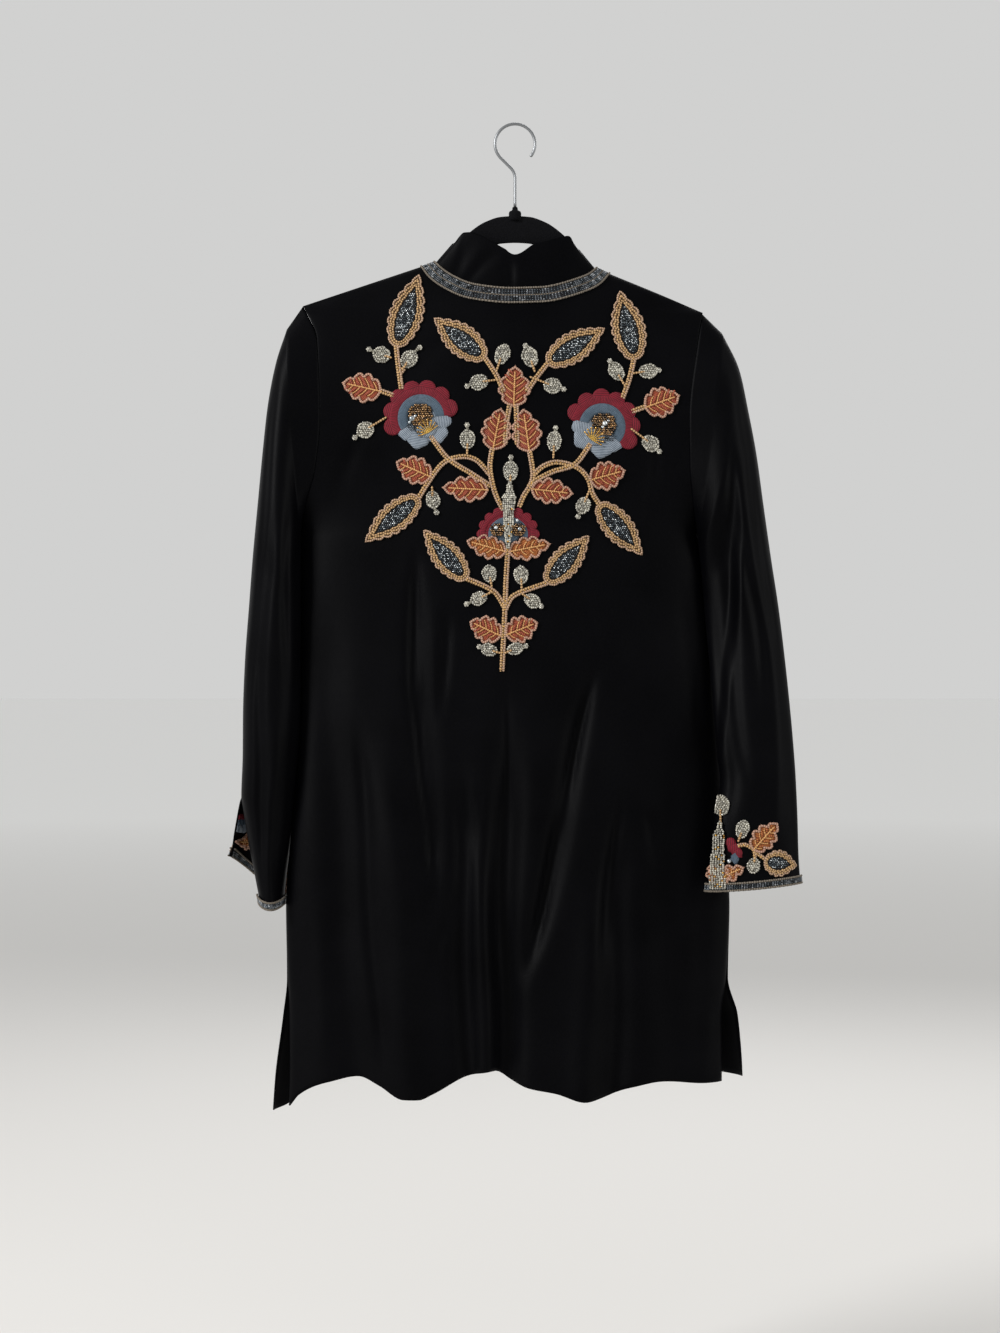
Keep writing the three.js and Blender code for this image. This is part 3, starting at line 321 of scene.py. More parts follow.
frontFolds = [dict(zip(foldKeys, row)) for row in (
    (-140, -420, -150, -965, -9, 17, 150), (-95, -520, -90, -965, 7, 19, 180),
    (-50, -640, -48, -965, -8, 14, 150), (48, -600, 42, -965, -8, 14, 150),
    (92, -500, 88, -965, 7, 18, 170), (140, -430, 148, -965, -9, 17, 150),
    (-150, -330, -120, -470, -2.4, 7, 50), (128, -320, 104, -470, -2.6, 7, 50),
    (-104, -480, -76, -700, -3.0, 6, 60), (88, -520, 62, -740, -3.2, 6, 60),
    (-60, -560, -52, -780, -2.4, 5, 50), (30, -620, 36, -860, -2.6, 5, 50),
    (-175, -560, -160, -860, -3.0, 9, 70), (160, -540, 150, -880, -3.0, 9, 70),
    (-18, -700, -22, -960, -2.4, 6, 80), (14, -660, 12, -950, -2.0, 6, 80),
    (-120, -240, -92, -300, -1.2, 12, 30), (112, -250, 84, -310, -1.2, 12, 30),
)]
foldsOf = {backSide: backFolds, frontSide: frontFolds}


def foldDepth(side, x, z):
    depth = np.zeros_like(x)
    for fold in foldsOf[side]:
        along = (fold["topZ"] - z) / (fold["topZ"] - fold["footZ"])
        wander = foldWander["size"] * np.sin(z / foldWander["length"] + fold["topX"])
        middle = mix(fold["topX"], fold["footX"], along) + wander
        fadeIn = ease(0, fold["fadeIn"], fold["topZ"] - z)
        fadeOut = 1.0 if fold["footZ"] < hemZ else 1 - ease(-60, 20, fold["footZ"] - z)
        depth = depth + fold["depth"] * fadeIn * fadeOut * np.exp(-(((x - middle) / fold["width"]) ** 2))
    # A faint ripple all over, from just below the shoulders
    ripple = 0.8 * np.sin(x / 23 + z / 61) * np.sin(z / 37 - x / 49) * ease(0, 120, -200 - z)
    return depth + ripple


def bodyPoint(side, turn, z):
    left, right = edgeOf[side][0](z), edgeOf[side][1](z)
    x = (left + right) / 2 + (right - left) / 2 * np.sin(turn)
    below = np.maximum(shoulderLine(x) - z, 0)
    arch = formSpec["arch"] * (1 - np.exp(-below / formSpec["archRun"]))
    fall = (middleDepth(z) - formSpec["arch"]) * (1 - np.exp(-below / formSpec["fallRun"]))
    bulge = np.maximum(np.cos(turn), 0) ** (2 * roundness(z))
    overBar = arch * (bulge**0.3 - bulge) * np.exp(-below / formSpec["overBarRun"])
    depth = mix(edgeDepth(z), cloth["seam"] / 2 + arch + fall, bulge) + overBar
    y = depth + foldDepth(side, x, z) * np.cos(turn)
    return np.stack([x, side * y, z + 0 * x], axis=-1)


def turnAt(side, x, z):
    left, right = edgeOf[side][0](z), edgeOf[side][1](z)
    return np.arcsin(np.clip((2 * x - left - right) / (right - left), -1, 1))


def asPair(a, b):
    return np.broadcast_arrays(np.asarray(a, float), np.asarray(b, float))


def onBody(side, x, z, off):
    x, z = asPair(x, z)
    turn = turnAt(side, x, z)
    across = (bodyPoint(side, np.minimum(turn + 0.03, quarter), z)
              - bodyPoint(side, np.maximum(turn - 0.03, -quarter), z))
    down = bodyPoint(side, turn, z - 1.2) - bodyPoint(side, turn, z + 1.2)
    outward = unit(np.cross(across, down)) * side
    return bodyPoint(side, turn, z) + outward * np.asarray(off, float)[..., None]


# Meshes. Faces come as blocks of triangles or of four-sided faces
triangles = {}


def makeObject(name, points, blocks, material, uv):
    mesh = bpy.data.meshes.new(name)
    points = np.asarray(points, dtype=np.float64) * metre
    corners = np.concatenate([block.ravel() for block in blocks]).astype(np.int32)
    sizes = np.concatenate([np.full(len(block), block.shape[1]) for block in blocks])
    starts = np.concatenate([[0], np.cumsum(sizes)[:-1]]).astype(np.int32)
    mesh.vertices.add(len(points))
    mesh.vertices.foreach_set("co", points.ravel())
    mesh.loops.add(len(corners))
    mesh.loops.foreach_set("vertex_index", corners)
    mesh.polygons.add(len(sizes))
    mesh.polygons.foreach_set("loop_start", starts)
    mesh.polygons.foreach_set("use_smooth", np.ones(len(sizes), bool))
    layer = mesh.uv_layers.new(name="stitches")
    layer.data.foreach_set("uv", (np.asarray(uv, dtype=np.float64) * metre)[corners].ravel())
    mesh.materials.append(material)
    mesh.update(calc_edges=True)
    mesh.validate()
    made = bpy.data.objects.new(name, mesh)
    bpy.context.collection.objects.link(made)
    triangles[name] = int((sizes - 2).sum())
    return made


def gridNormals(net):
    along = np.gradient(net, axis=1)
    down = np.gradient(net, axis=0)
    return unit(np.cross(along, down))


# Faces between neighbours in a net of rows, and the same in a net that closes on itself
def quadsOf(index):
    return np.stack([index[:-1, :-1], index[1:, :-1], index[1:, 1:], index[:-1, 1:]], -1).reshape(-1, 4)


def tubeQuads(rows, sides):
    index = np.arange(rows * sides).reshape(rows, sides)
    after = np.roll(index, -1, axis=1)
    return np.stack([index[:-1], after[:-1], after[1:], index[1:]], -1).reshape(-1, 4)


def roundTurns(count):
    return np.linspace(0, 2 * math.pi, count, endpoint=False)


def wallFaces(rows, columns, weldRows=0):
    index = np.arange(rows * columns).reshape(rows, columns)
    if weldRows:
        index[:weldRows, -1] = index[:weldRows, 0]
    total = rows * columns
    outer = quadsOf(index)
    inner = outer[:, ::-1] + total
    top = np.stack([index[0, 1:], index[0, 1:] + total, index[0, :-1] + total, index[0, :-1]], -1)
    foot = np.stack([index[-1, :-1], index[-1, :-1] + total, index[-1, 1:] + total, index[-1, 1:]], -1)
    start = max(weldRows - 1, 0)
    left, right = index[start:, 0], index[start:, -1]
    leftRim = np.stack([left[:-1], left[:-1] + total, left[1:] + total, left[1:]], -1)
    rightRim = np.stack([right[1:], right[1:] + total, right[:-1] + total, right[:-1]], -1)
    return np.concatenate([outer, inner, top, foot, leftRim, rightRim])


def compact(points, faces, uv):
    used = np.unique(faces)
    place = np.full(len(points), -1)
    place[used] = np.arange(len(used))
    return points[used], place[faces], uv[used]


# A wall of cloth from its outer face. Its first rows can be welded into a ring, and it can be kept to
# one side of the seam plane
def wallObject(name, net, thickness, material, sign=1, weldRows=0, keepOff=None):
    normal = gridNormals(net) * sign
    if weldRows:
        seam = unit(normal[:weldRows, 0] + normal[:weldRows, -1])
        normal[:weldRows, 0] = seam
        normal[:weldRows, -1] = seam
    inner = net - normal * thickness
    if keepOff:
        inner[..., 1] = keepOff * np.maximum(keepOff * inner[..., 1], cloth["seam"] / 2)
    rows, columns = net.shape[:2]
    faces = wallFaces(rows, columns, weldRows)
    if sign < 0:
        faces = faces[:, ::-1]
    stepU = np.linalg.norm(np.diff(net, axis=1), axis=-1)
    stepV = np.linalg.norm(np.diff(net, axis=0), axis=-1)
    u = np.concatenate([np.zeros((rows, 1)), np.cumsum(stepU, axis=1)], axis=1)
    v = np.concatenate([np.zeros((1, columns)), np.cumsum(stepV, axis=0)], axis=0)
    uv = np.tile(np.stack([u, v], -1).reshape(-1, 2), (2, 1))
    points = np.concatenate([net.reshape(-1, 3), inner.reshape(-1, 3)])
    points, faces, uv = compact(points, faces, uv)
    return makeObject(name, points, [faces], material, uv)


# Necklines: the inner line is the collar's seam, the outer one the braid's lower edge
neckKeys = ("innerX", "innerZ", "outerX", "outerZ")
backNeck = [dict(zip(neckKeys, row)) for row in (
    (-80, -136.9, -94.5, -141.9), (-72, -144.5, -86, -153.5), (-60, -152.5, -70, -165.5),
    (-40, -160.5, -45, -176), (-5, -164.5, -5, -180.5), (26, -163.5, 28, -179.5),
    (58, -155.5, 64, -170.5), (74, -148.7, 84, -161), (81, -142.9, 95, -148.9),
)]
leftNeck = [dict(zip(neckKeys, row)) for row in (
    (-80, -136.9, -94.5, -141.9), (-73, -160, -89, -165), (-58, -190, -72, -199),
    (-34, -216, -43, -230), (-5.3, -230, -5.3, -246),
)]
rightNeck = [dict(zip(neckKeys, row)) for row in (
    (81, -142.9, 95, -148.9), (70, -163, 86, -168), (51, -192, 65, -201),
    (25, -217, 33, -231), (-4.7, -230, -4.7, -246),
)]
neckLineOf = {
    backSide: columnCurve(backNeck, "innerX", "innerZ"),
    frontSide: columnCurve(leftNeck[:-1] + [{"innerX": -5, "innerZ": -230}] + rightNeck[:-1],
                           "innerX", "innerZ"),
}
hemX = (-243, -228, -215, -200, -185, -155, -135, -110, -95, -80, -50, -20, -5, 12, 40, 70, 85,
        115, 145, 190, 229)
hemOf = {
    backSide: curveThrough(hemX, (-984, -981, -966.5, -957.5, -952.5, -946.5, -954.5, -967.5, -967.5,
                                  -961.5, -945.5, -939.5, -948.5, -956, -961.5, -969.5, -966.5,
                                  -956.5, -951.5, -954.5, -953.5)),
    frontSide: curveThrough(hemX, (-986, -981, -965, -955, -950, -944, -946, -953, -954, -951, -944,
                                   -948, -950, -948, -944, -951, -954, -951, -944, -947, -951)),
}


def topOf(side, x):
    inNeck = (x > neckEnds[0]) & (x < neckEnds[1])
    return np.where(inNeck, neckLineOf[side](x), shoulderLine(x) - 0.2)


def panelNet(side, turns, upper, lower):
    top = np.full(len(turns), -180.0)
    for _ in range(14):
        top = topOf(side, bodyPoint(side, turns, top)[:, 0])
    hem = hemOf[side](bodyPoint(side, turns, np.full(len(turns), float(hemZ)))[:, 0])
    high = (np.arange(upper) / upper)[:, None] ** 1.6
    low = (np.arange(lower + 1) / lower)[:, None]
    z = np.concatenate([mix(top[None], cloth["armpit"], high), mix(cloth["armpit"], hem[None], low)])
    return bodyPoint(side, np.broadcast_to(turns, z.shape), z)


bodyMesh = {"backColumns": 170, "frontColumns": 84, "upper": 60, "lower": 116}
centreTurn = float(turnAt(frontSide, np.array(float(cloth["centre"])), np.array(-400.0)))
centreGap = 0.0009
neckCorners = {side: [float(turnAt(side, np.array(x), shoulderLine(x))) for x in neckEnds]
               for side in (backSide, frontSide)}


def snapTurns(turns, corners):
    turns = turns.copy()
    for corner in corners:
        turns[np.argmin(np.abs(turns - corner))] = corner
    return turns


backTurns = snapTurns(np.linspace(-quarter, quarter, bodyMesh["backColumns"]), neckCorners[backSide])
leftTurns = snapTurns(np.linspace(-quarter, centreTurn - centreGap, bodyMesh["frontColumns"]),
                      neckCorners[frontSide][:1])
rightTurns = snapTurns(np.linspace(centreTurn + centreGap, quarter, bodyMesh["frontColumns"]),
                       neckCorners[frontSide][1:])
clothPieces = []
for name, node, side, turns in (("backPanel", "back", backSide, backTurns),
                                ("leftFront", "front-left", frontSide, leftTurns),
                                ("rightFront", "front-right", frontSide, rightTurns)):
    net = panelNet(side, turns, bodyMesh["upper"], bodyMesh["lower"])
    made = wallObject(name, net, cloth["thickness"], crepe, side, keepOff=side)
    clothPieces.append((made, node))
print("body panels made")


# Sleeves: each row is a ring, with x and z of its outer edge and of its inner one, half its depth and
# its shift in y
ringRows = {
    "left": ((-228, -204, -215.2, -418, 30, 0), (-239, -238, -215.2, -424, 34, 0),
             (-247, -280, -215.2, -434, 37, 0), (-252, -325, -215.2, -449, 39, 0),
             (-257, -378, -215.2, -471, 40, 0), (-262, -430, -215.2, -500, 39, 1),
             (-266, -482, -215.2, -536, 38, 1), (-270, -534, -215.3, -574, 36, 2),
             (-272, -584, -217, -612, 34, 2), (-272.5, -630, -219.4, -650, 32, 3),
             (-274, -672, -223.2, -686, 30, 4), (-274, -706, -226.6, -717, 28, 5),
             (-273, -734, -229.4, -743, 27, 6), (-272, -757, -231.5, -768, 26, 6)),
    "right": ((207, -208, 184, -418, 31, 0), (224, -244, 184.8, -424, 35, 0),
              (233, -285, 186, -434, 37, 0), (241, -328, 187.6, -449, 38, -1),
              (248, -380, 190, -471, 37, -3), (255, -432, 193.2, -500, 34, -7),
              (262, -482, 196.6, -530, 30, -13), (267, -528, 199.7, -558, 27, -20),
              (271, -572, 203, -592, 25, -27), (274, -611, 205.5, -627, 23, -33),
              (276.5, -653, 201.5, -661, 21, -38), (277.5, -691, 195.5, -698, 19, -42),
              (278, -726, 190.5, -734, 17, -44), (279.5, -753.5, 187.5, -762, 16, -45)),
}
vents = {"left": {"nearX": 17, "farX": -15, "nearY": -5, "farY": 9, "nearZ": -19, "farZ": 25,
                  "innerZ": -10, "scoopZ": -6},
         "right": {"nearX": 0.6, "farX": -7, "nearY": -1, "farY": 5, "nearZ": 0, "farZ": 2,
                   "innerZ": 0, "scoopZ": -1}}
ventSteps = 3
lastStation = 14
# Creases along and across each sleeve: where round it, from and to which station, and their size
sleeveCreases = {
    "left": ((0.13, 1.5, 9, -3.0, 0.030), (0.20, 4, 13, -3.6, 0.035), (0.33, 2, 8, -2.6, 0.030),
             (0.28, 8, 14, 2.4, 0.040), (0.62, 2, 10, -3.0, 0.035), (0.80, 4, 13, -3.0, 0.035),
             (0.42, 6, 13, -2.4, 0.030)),
    "right": ((0.12, 1.2, 8, -3.2, 0.030), (0.21, 2, 9, -3.4, 0.028), (0.31, 3, 11, -3.6, 0.030),
              (0.16, 7, 13, 2.4, 0.040), (0.38, 5, 12, -2.6, 0.030), (0.65, 2, 10, -3.0, 0.035),
              (0.82, 3, 12, -3.0, 0.035)),
}
# Where each sleeve's inner edge leaves the body's, by station
bodyHug = {"left": (11, 14), "right": (10, 11.5)}
# Where the right sleeve's near layer folds back, by station
layerLine = curveThrough((0, 4.5, 7.5, 9.3, 10.6, 14), (0.16, 0.2, 0.305, 0.378, 0.44, 0.48))


def sleevePoint(hand, around, station):
    around, station = asPair(around, station)
    rings = np.array(ringRows[hand], float)
    edge = 0 if hand == "left" else 1
    outward = -1 if hand == "left" else 1
    angle = around * 2 * math.pi
    side = np.where(around < 0.5, backSide, frontSide)
    topZ = float(shoulderLine(shoulderEnds[hand])) - 0.2
    swing = (1 - np.cos(angle)) / 2
    loopZ = mix(topZ, cloth["armpit"], swing)
    loopY = edgeDepth(loopZ) * np.minimum(1, np.abs(np.sin(angle)) * 3)
    loop = np.stack([edgeOf[backSide][edge](loopZ) + outward * 0.15, side * loopY, loopZ], -1)
    place = np.clip(station - 1, 0, lastStation - 1)
    ring = [curveThrough(np.arange(lastStation), rings[:, k])(place) for k in range(6)]
    outerX, outerZ, innerX, innerZ, depth, shift = ring
    # Down to the elbow the inner edge lies along the body's edge, and a little over it where it is nearer
    low, high = bodyHug[hand]
    beside = edgeOf[backSide][edge](innerZ) - outward * (0.3 + 0.17 * np.abs(np.minimum(shift, 0)))
    innerX = mix(beside, innerX, ease(low, high, station))
    crease = np.zeros_like(around)
    for middle, start, end, size, width in sleeveCreases[hand]:
        fade = ease(start, start + 2, station) * (1 - ease(end - 1.5, end + 0.5, station))
        drift = middle + 0.018 * np.sin(station * 0.9 + middle * 20)
        crease = crease + size * fade * np.exp(-(((around - drift) / width) ** 2))
    crease = crease * np.abs(np.sin(angle)) ** 0.5
    depth = depth + crease
    if hand == "right":
        behind = ease(0, 0.07, around - layerLine(station)) * np.where(around < 0.5, 1, 0)
        depth = depth * (1 - 0.4 * behind * ease(2.5, 5, station) * (1 - ease(10, 12, station)))
    point = np.stack([mix(outerX, innerX, swing), shift - depth * np.sin(angle),
                      mix(outerZ, innerZ, swing)], -1)
    opening = np.clip((station - (lastStation - ventSteps)) / ventSteps, 0, 1)
    vent = vents[hand]
    near = np.where(around < 0.5, (1 + np.cos(angle)) / 2, 0)
    far = np.where(around < 0.5, 0, (1 + np.cos(angle)) / 2)
    scoop = np.where(around < 0.5, np.sin(angle) ** 2, 0)
    point = point + np.stack([opening * near * vent["nearX"] + opening**0.7 * far * vent["farX"],
                              opening * (near * vent["nearY"] + far * vent["farY"]),
                              opening**2 * (near * vent["nearZ"] + far * vent["farZ"]
                                            + swing * vent["innerZ"] + scoop * vent["scoopZ"])], -1)
    blend = np.clip(station, 0, 1)[..., None]
    return loop * (1 - blend) + point * blend


def onSleeve(hand, around, station, off):
    around, station = asPair(around, station)
    step = 0.006
    a = sleevePoint(hand, np.clip(around - step, 0, 1), station)
    b = sleevePoint(hand, np.clip(around + step, 0, 1), station)
    up = sleevePoint(hand, around, np.maximum(station - 0.2, 0))
    down = sleevePoint(hand, around, np.minimum(station + 0.2, lastStation))
    outward = unit(np.cross(b - a, down - up)) * (-1 if hand == "left" else 1)
    return sleevePoint(hand, around, station) + outward * np.asarray(off, float)[..., None]


sleeveMesh = {"around": 120, "stations": 126}
for hand in ("left", "right"):
    stations = np.linspace(0, lastStation, sleeveMesh["stations"] + 1)
    around = np.linspace(0, 1, sleeveMesh["around"] + 1)
    net = sleevePoint(hand, around[None, :], stations[:, None])
    ventRow = int(np.searchsorted(stations, lastStation - ventSteps)) + 1
    sign = -1 if hand == "left" else 1
    made = wallObject(hand + "Sleeve", net, cloth["thickness"], crepe, sign, weldRows=ventRow)
    clothPieces.append((made, "sleeve-" + hand))
print("sleeves made")


# Stand collar: place 0 and 3 are centre front, 1 and 2 the shoulders, 1.5 centre back
collarPlace = (0, 0.5, 0.9, 1, 1.1, 1.22, 1.36, 1.48, 1.5, 1.52, 1.64, 1.78, 1.9, 2, 2.1, 2.5, 3)
collarHeight = curveThrough(collarPlace, (34, 33, 26, 21, 32, 44, 51, 41, 37, 35.5, 46, 44, 31, 21, 26,
                                          33, 34))
collarLean = curveThrough(collarPlace, (0.1, 0.14, 0.22, 0.24, 0.27, 0.24, 0.2, 0.12, 0.1, 0.12, 0.2,
                                        0.18, 0.22, 0.2, 0.2, 0.14, 0.1))
collarSpec = {"thickness": 1.8, "columns": 260, "rows": 26, "tuck": 1.6}
collarParts = ((frontSide, leftNeck[::-1]), (backSide, backNeck), (frontSide, rightNeck))


def neckAt(rows, part):
    places = np.linspace(0, 1, len(rows))
    return [curveThrough(places, [row[key] for row in rows])(part) for key in neckKeys]


# Where each crease starts on the top edge, how far it runs aside, its depth and its width
collarCreases = ((1.5, 0.0, 2.6, 0.02), (1.47, -0.14, 2.2, 0.03), (1.53, 0.16, 2.0, 0.03),
                 (1.34, -0.1, 0.9, 0.05), (1.68, 0.08, 0.9, 0.05), (1.24, 0.03, 0.5, 0.04))


def collarSeam(place):
    place = np.clip(place, 0.01, 2.99)
    seam = np.zeros(place.shape + (3,))
    for k, (side, rows) in enumerate(collarParts):
        inside = np.minimum(np.floor(place).astype(int), 2) == k
        innerX, innerZ, outerX, outerZ = neckAt(rows, place[inside] - k)
        innerZ = neckLineOf[side](innerX)
        # The seam lies just inside the panel, under the braid
        under = unit(np.stack([outerX - innerX, outerZ - innerZ], -1)) * collarSpec["tuck"]
        seam[inside] = onBody(side, innerX + under[:, 0], innerZ + under[:, 1],
                              np.full(inside.sum(), -cloth["under"]))
    return seam


def collarNet(columns, rows):
    place = np.linspace(0, 3, columns)
    rise = np.linspace(0, 1, rows)[:, None]
    foot = collarSeam(place)[None]
    lean = collarLean(place)[None] * rise
    roll = 1.3 * np.sin(place * 9.0)[None] * rise * (1 - rise) * 2
    x = mix(foot[..., 0], cloth["centre"], lean)
    y = foot[..., 1] * (1 - 0.2 * rise + 0.05 * roll)
    fade = np.sin(math.pi * (0.15 + 0.85 * rise))
    for start, spread, size, width in collarCreases:
        line = start + spread * (1 - rise)
        y = y + size * np.exp(-(((place[None] - line) / width) ** 2)) * fade
    return np.stack([x, y, foot[..., 2] + collarHeight(place)[None] * rise], -1)


collarPiece = wallObject("standCollar", collarNet(collarSpec["columns"], collarSpec["rows"])[::-1],
                         collarSpec["thickness"], crepe, -1)
clothPieces.append((collarPiece, "collar"))
print("collar made")


# Threads and beads, gathered into one mesh for each finish and region
class Gather:
    def __init__(self):
        self.points, self.faces, self.uv, self.count = [], [], [], 0

    def add(self, points, faces, uv):
        self.faces.append(np.asarray(faces) + self.count)
        self.points.append(points)
        self.uv.append(uv)
        self.count += len(points)

    def build(self, name, material):
        return makeObject(name, np.concatenate(self.points), self.faces, material,
                          np.concatenate(self.uv))


def resample(path, step):
    path = np.asarray(path, float)
    for _ in range(3):
        if len(path) < 60:
            previous = np.concatenate([[2 * path[0] - path[1]], path, [2 * path[-1] - path[-2]]])
            smooth = (9 * (path[:-1] + path[1:]) - previous[:-3] - previous[3:]) / 16
            finer = np.empty((2 * len(path) - 1, path.shape[1]))
            finer[0::2], finer[1::2] = path, smooth
            path = finer
    run = np.concatenate([[0], np.cumsum(np.linalg.norm(np.diff(path, axis=0), axis=1))])
    count = max(int(run[-1] / step), 2)
    at = np.linspace(0, run[-1], count + 1)
    return np.stack([np.interp(at, run, path[:, k]) for k in range(path.shape[1])], -1)


# A twisted cord along a flat path, laid on the cloth by the given placing function
cordSpec = {"step": 1.2, "twist": 3.8, "strand": 0.16, "sides": 6, "endTaper": 0.45}


def layCord(gather, place, path, radius, high=0.0, closed=False):
    step, sides = cordSpec["step"], cordSpec["sides"]
    flat = resample(path, step)
    middle = place(flat[:, 0], flat[:, 1], radius * 0.75 + high)
    over = place(flat[:, 0], flat[:, 1], radius * 0.75 + high + 1.0)
    outward = unit(over - middle)
    along = unit(np.gradient(middle, axis=0))
    across = unit(np.cross(along, outward))
    run = np.arange(len(flat)) * step
    turn = roundTurns(sides)
    winding = 2 * math.pi * run[:, None] / cordSpec["twist"]
    strand = 1 + cordSpec["strand"] * np.cos(2 * turn[None] - winding)
    taper = np.ones(len(flat))
    if not closed:
        taper[0] = taper[-1] = cordSpec["endTaper"]
    reach = radius * strand * taper[:, None]
    ring = (middle[:, None] + across[:, None] * (np.cos(turn) * reach)[..., None]
            + outward[:, None] * (np.sin(turn) * reach)[..., None])
    rows = len(flat)
    uv = np.stack(np.broadcast_arrays(run[:, None], turn[None] * radius), -1).reshape(-1, 2)
    gather.add(ring.reshape(-1, 3), tubeQuads(rows, sides), uv)
    for row, order in ((0, 1), (rows - 1, -1)):
        cap = np.concatenate([ring[row], middle[row : row + 1]])
        fan = np.array([[k, sides, (k + 1) % sides][::order] for k in range(sides)])
        gather.add(cap, fan, np.zeros((len(cap), 2)))


# A padded field of stitches inside an outline that its middle can see all of
satinRings = 5


def laySatin(gather, place, outline, height, stitchTurn=0.0, edge=0.15, level=0.0):
    outline = np.asarray(outline, float)
    middle = outline.mean(axis=0)
    levels = np.linspace(0, 1, satinRings + 1)[1:]
    flat = [middle[None]] + [middle + (outline - middle) * r for r in levels]
    dome = [height] + [mix(edge, height, math.sqrt(max(1 - r**3, 0))) for r in levels]
    points, uv = [], []
    for ring, rise in zip(flat, dome):
        points.append(place(ring[:, 0], ring[:, 1], np.full(len(ring), rise + level)))
        uv.append(ring)
    skirt = place(outline[:, 0], outline[:, 1], np.full(len(outline), -0.5))
    points.append(skirt)
    uv.append(outline)
    count = len(outline)
    fan = np.array([[0, 1 + k, 1 + (k + 1) % count] for k in range(count)])
    quads = 1 + tubeQuads(satinRings + 1, count)[:, [0, 3, 2, 1]]
    flatUv = np.concatenate(uv)
    c, s = math.cos(stitchTurn), math.sin(stitchTurn)
    turned = np.stack([flatUv[:, 0] * c + flatUv[:, 1] * s, -flatUv[:, 0] * s + flatUv[:, 1] * c], -1)
    start = gather.count
    gather.add(np.concatenate(points), fan, turned)
    gather.faces.append(quads + start)


# Round beads as low domes, each on its own spot: how wide and how high each ring of one stands
beadSides = 8
beadTurns = roundTurns(beadSides)
beadRings = ((1.0, -0.35), (1.0, 0.3), (0.62, 0.78))


def layBeads(gather, place, spots, radius, high=0.0):
    spots = np.asarray(spots, float)
    if not len(spots):
        return
    foot = place(spots[:, 0], spots[:, 1], np.full(len(spots), radius * 0.5 + high))
    outward = unit(place(spots[:, 0], spots[:, 1], np.full(len(spots), radius * 0.5 + high + 1)) - foot)
    across = unit(np.cross(outward, np.array([0.3, 0.1, 1.0])))
    third = np.cross(outward, across)
    sizes = radius * (0.9 + 0.2 * rng.random(len(spots)))
    rings = []
    for wide, tall in beadRings:
        rings.append(foot[:, None]
                     + across[:, None] * (np.cos(beadTurns)[None] * sizes[:, None] * wide)[..., None]
                     + third[:, None] * (np.sin(beadTurns)[None] * sizes[:, None] * wide)[..., None]
                     + outward[:, None] * (sizes * tall)[:, None, None])
    tip = foot + outward * sizes[:, None]
    points = np.concatenate(rings + [tip[:, None]], axis=1)
    each = points.shape[1]
    base = (np.arange(len(spots)) * each)[:, None, None]
    quads = tubeQuads(len(beadRings), beadSides)
    last = quads[-beadSides:, [3, 2]]
    cap = np.concatenate([last, np.full((beadSides, 1), each - 1)], axis=1)
    start = gather.count
    gather.add(points.reshape(-1, 3), (cap[None] + base).reshape(-1, 3),
               np.repeat(spots, each, axis=0))
    gather.faces.append((quads[None] + base).reshape(-1, 4) + start)


# Spots for beads inside an outline, in a packed pattern
def beadSpots(outline, pitch):
    outline = np.asarray(outline, float)
    low, high = outline.min(axis=0), outline.max(axis=0)
    spots = []
    for row, z in enumerate(np.arange(low[1], high[1], pitch * 0.87)):
        for x in np.arange(low[0] + (row % 2) * pitch / 2, high[0], pitch):
            spots.append((x, z))
    spots = np.array(spots).reshape(-1, 2)
    inside = np.zeros(len(spots), bool)
    ahead = np.roll(outline, -1, axis=0)
    for (x1, z1), (x2, z2) in zip(outline, ahead):
        crosses = (z1 > spots[:, 1]) != (z2 > spots[:, 1])
        reach = (x2 - x1) * (spots[:, 1] - z1) / ((z2 - z1) if z2 != z1 else 1e-9) + x1
        inside ^= crosses & (spots[:, 0] < reach)
    return spots[inside] + rng.normal(0, pitch * 0.05, (inside.sum(), 2))


def sideways(along):
    return np.stack([-along[..., 1], along[..., 0]], -1)


# Leaf outlines, from base to tip: round at the base, pointed at the tip, with lobed edges
def leafShape(base, tip, width, lobes=0, scallop=0.0, inset=0.0, count=32):
    base, tip = np.array(base, float), np.array(tip, float)
    along = unit(tip - base)
    length = np.linalg.norm(tip - base)
    across = sideways(along)
    t = np.linspace(0, 1, count)
    half = width / 2 * np.sin(math.pi * t**0.82) ** mix(0.55, 1.05, t)
    if lobes:
        swell = np.abs(np.sin(math.pi * t * lobes)) ** 0.7 - 0.6
        half = half + scallop * swell * np.sin(math.pi * t) ** 0.4
    half = np.maximum(half - inset, 0)
    run = mix(inset * 0.9, length - inset * 0.9, t)
    right = base + along * run[:, None] - across * half[:, None]
    left = base + along * run[:, None] + across * half[:, None]
    return np.concatenate([right, left[-2:0:-1]])


def closedPath(outline):
    return np.vstack([outline, outline[:1]])


def roundShape(centre, radius, count=28):
    turn = roundTurns(count)
    return np.array(centre) + radius * np.stack([np.cos(turn), np.sin(turn)], -1)


finishes = {
    "goldCord": goldCord, "edgeCord": edgeCord, "paintedShadeSatin": paintedShadeSatin, "rustSatin": rustSatin,
    "pinkCord": pinkCord, "vein": veinCord, "fan": fanCord, "crimson": crimsonSatin,
    "slate": slateSatin, "blue": blueSatin, "greyCord": greyCord, "ground": braidThread,
    "amber": amberSatin, "goldKnot": goldKnot, "greyBead": greyBead, "gunmetal": gunmetalBead,
    "silver": silverBead, "sequin": bronzeSequin,
}


def newWork():
    return {key: Gather() for key in finishes}


def buildWork(work, name):
    return [work[key].build(name + key, finishes[key]) for key in finishes if work[key].points]


# A curved band of stitches between two lines of the same length, domed across
bandSteps = 6


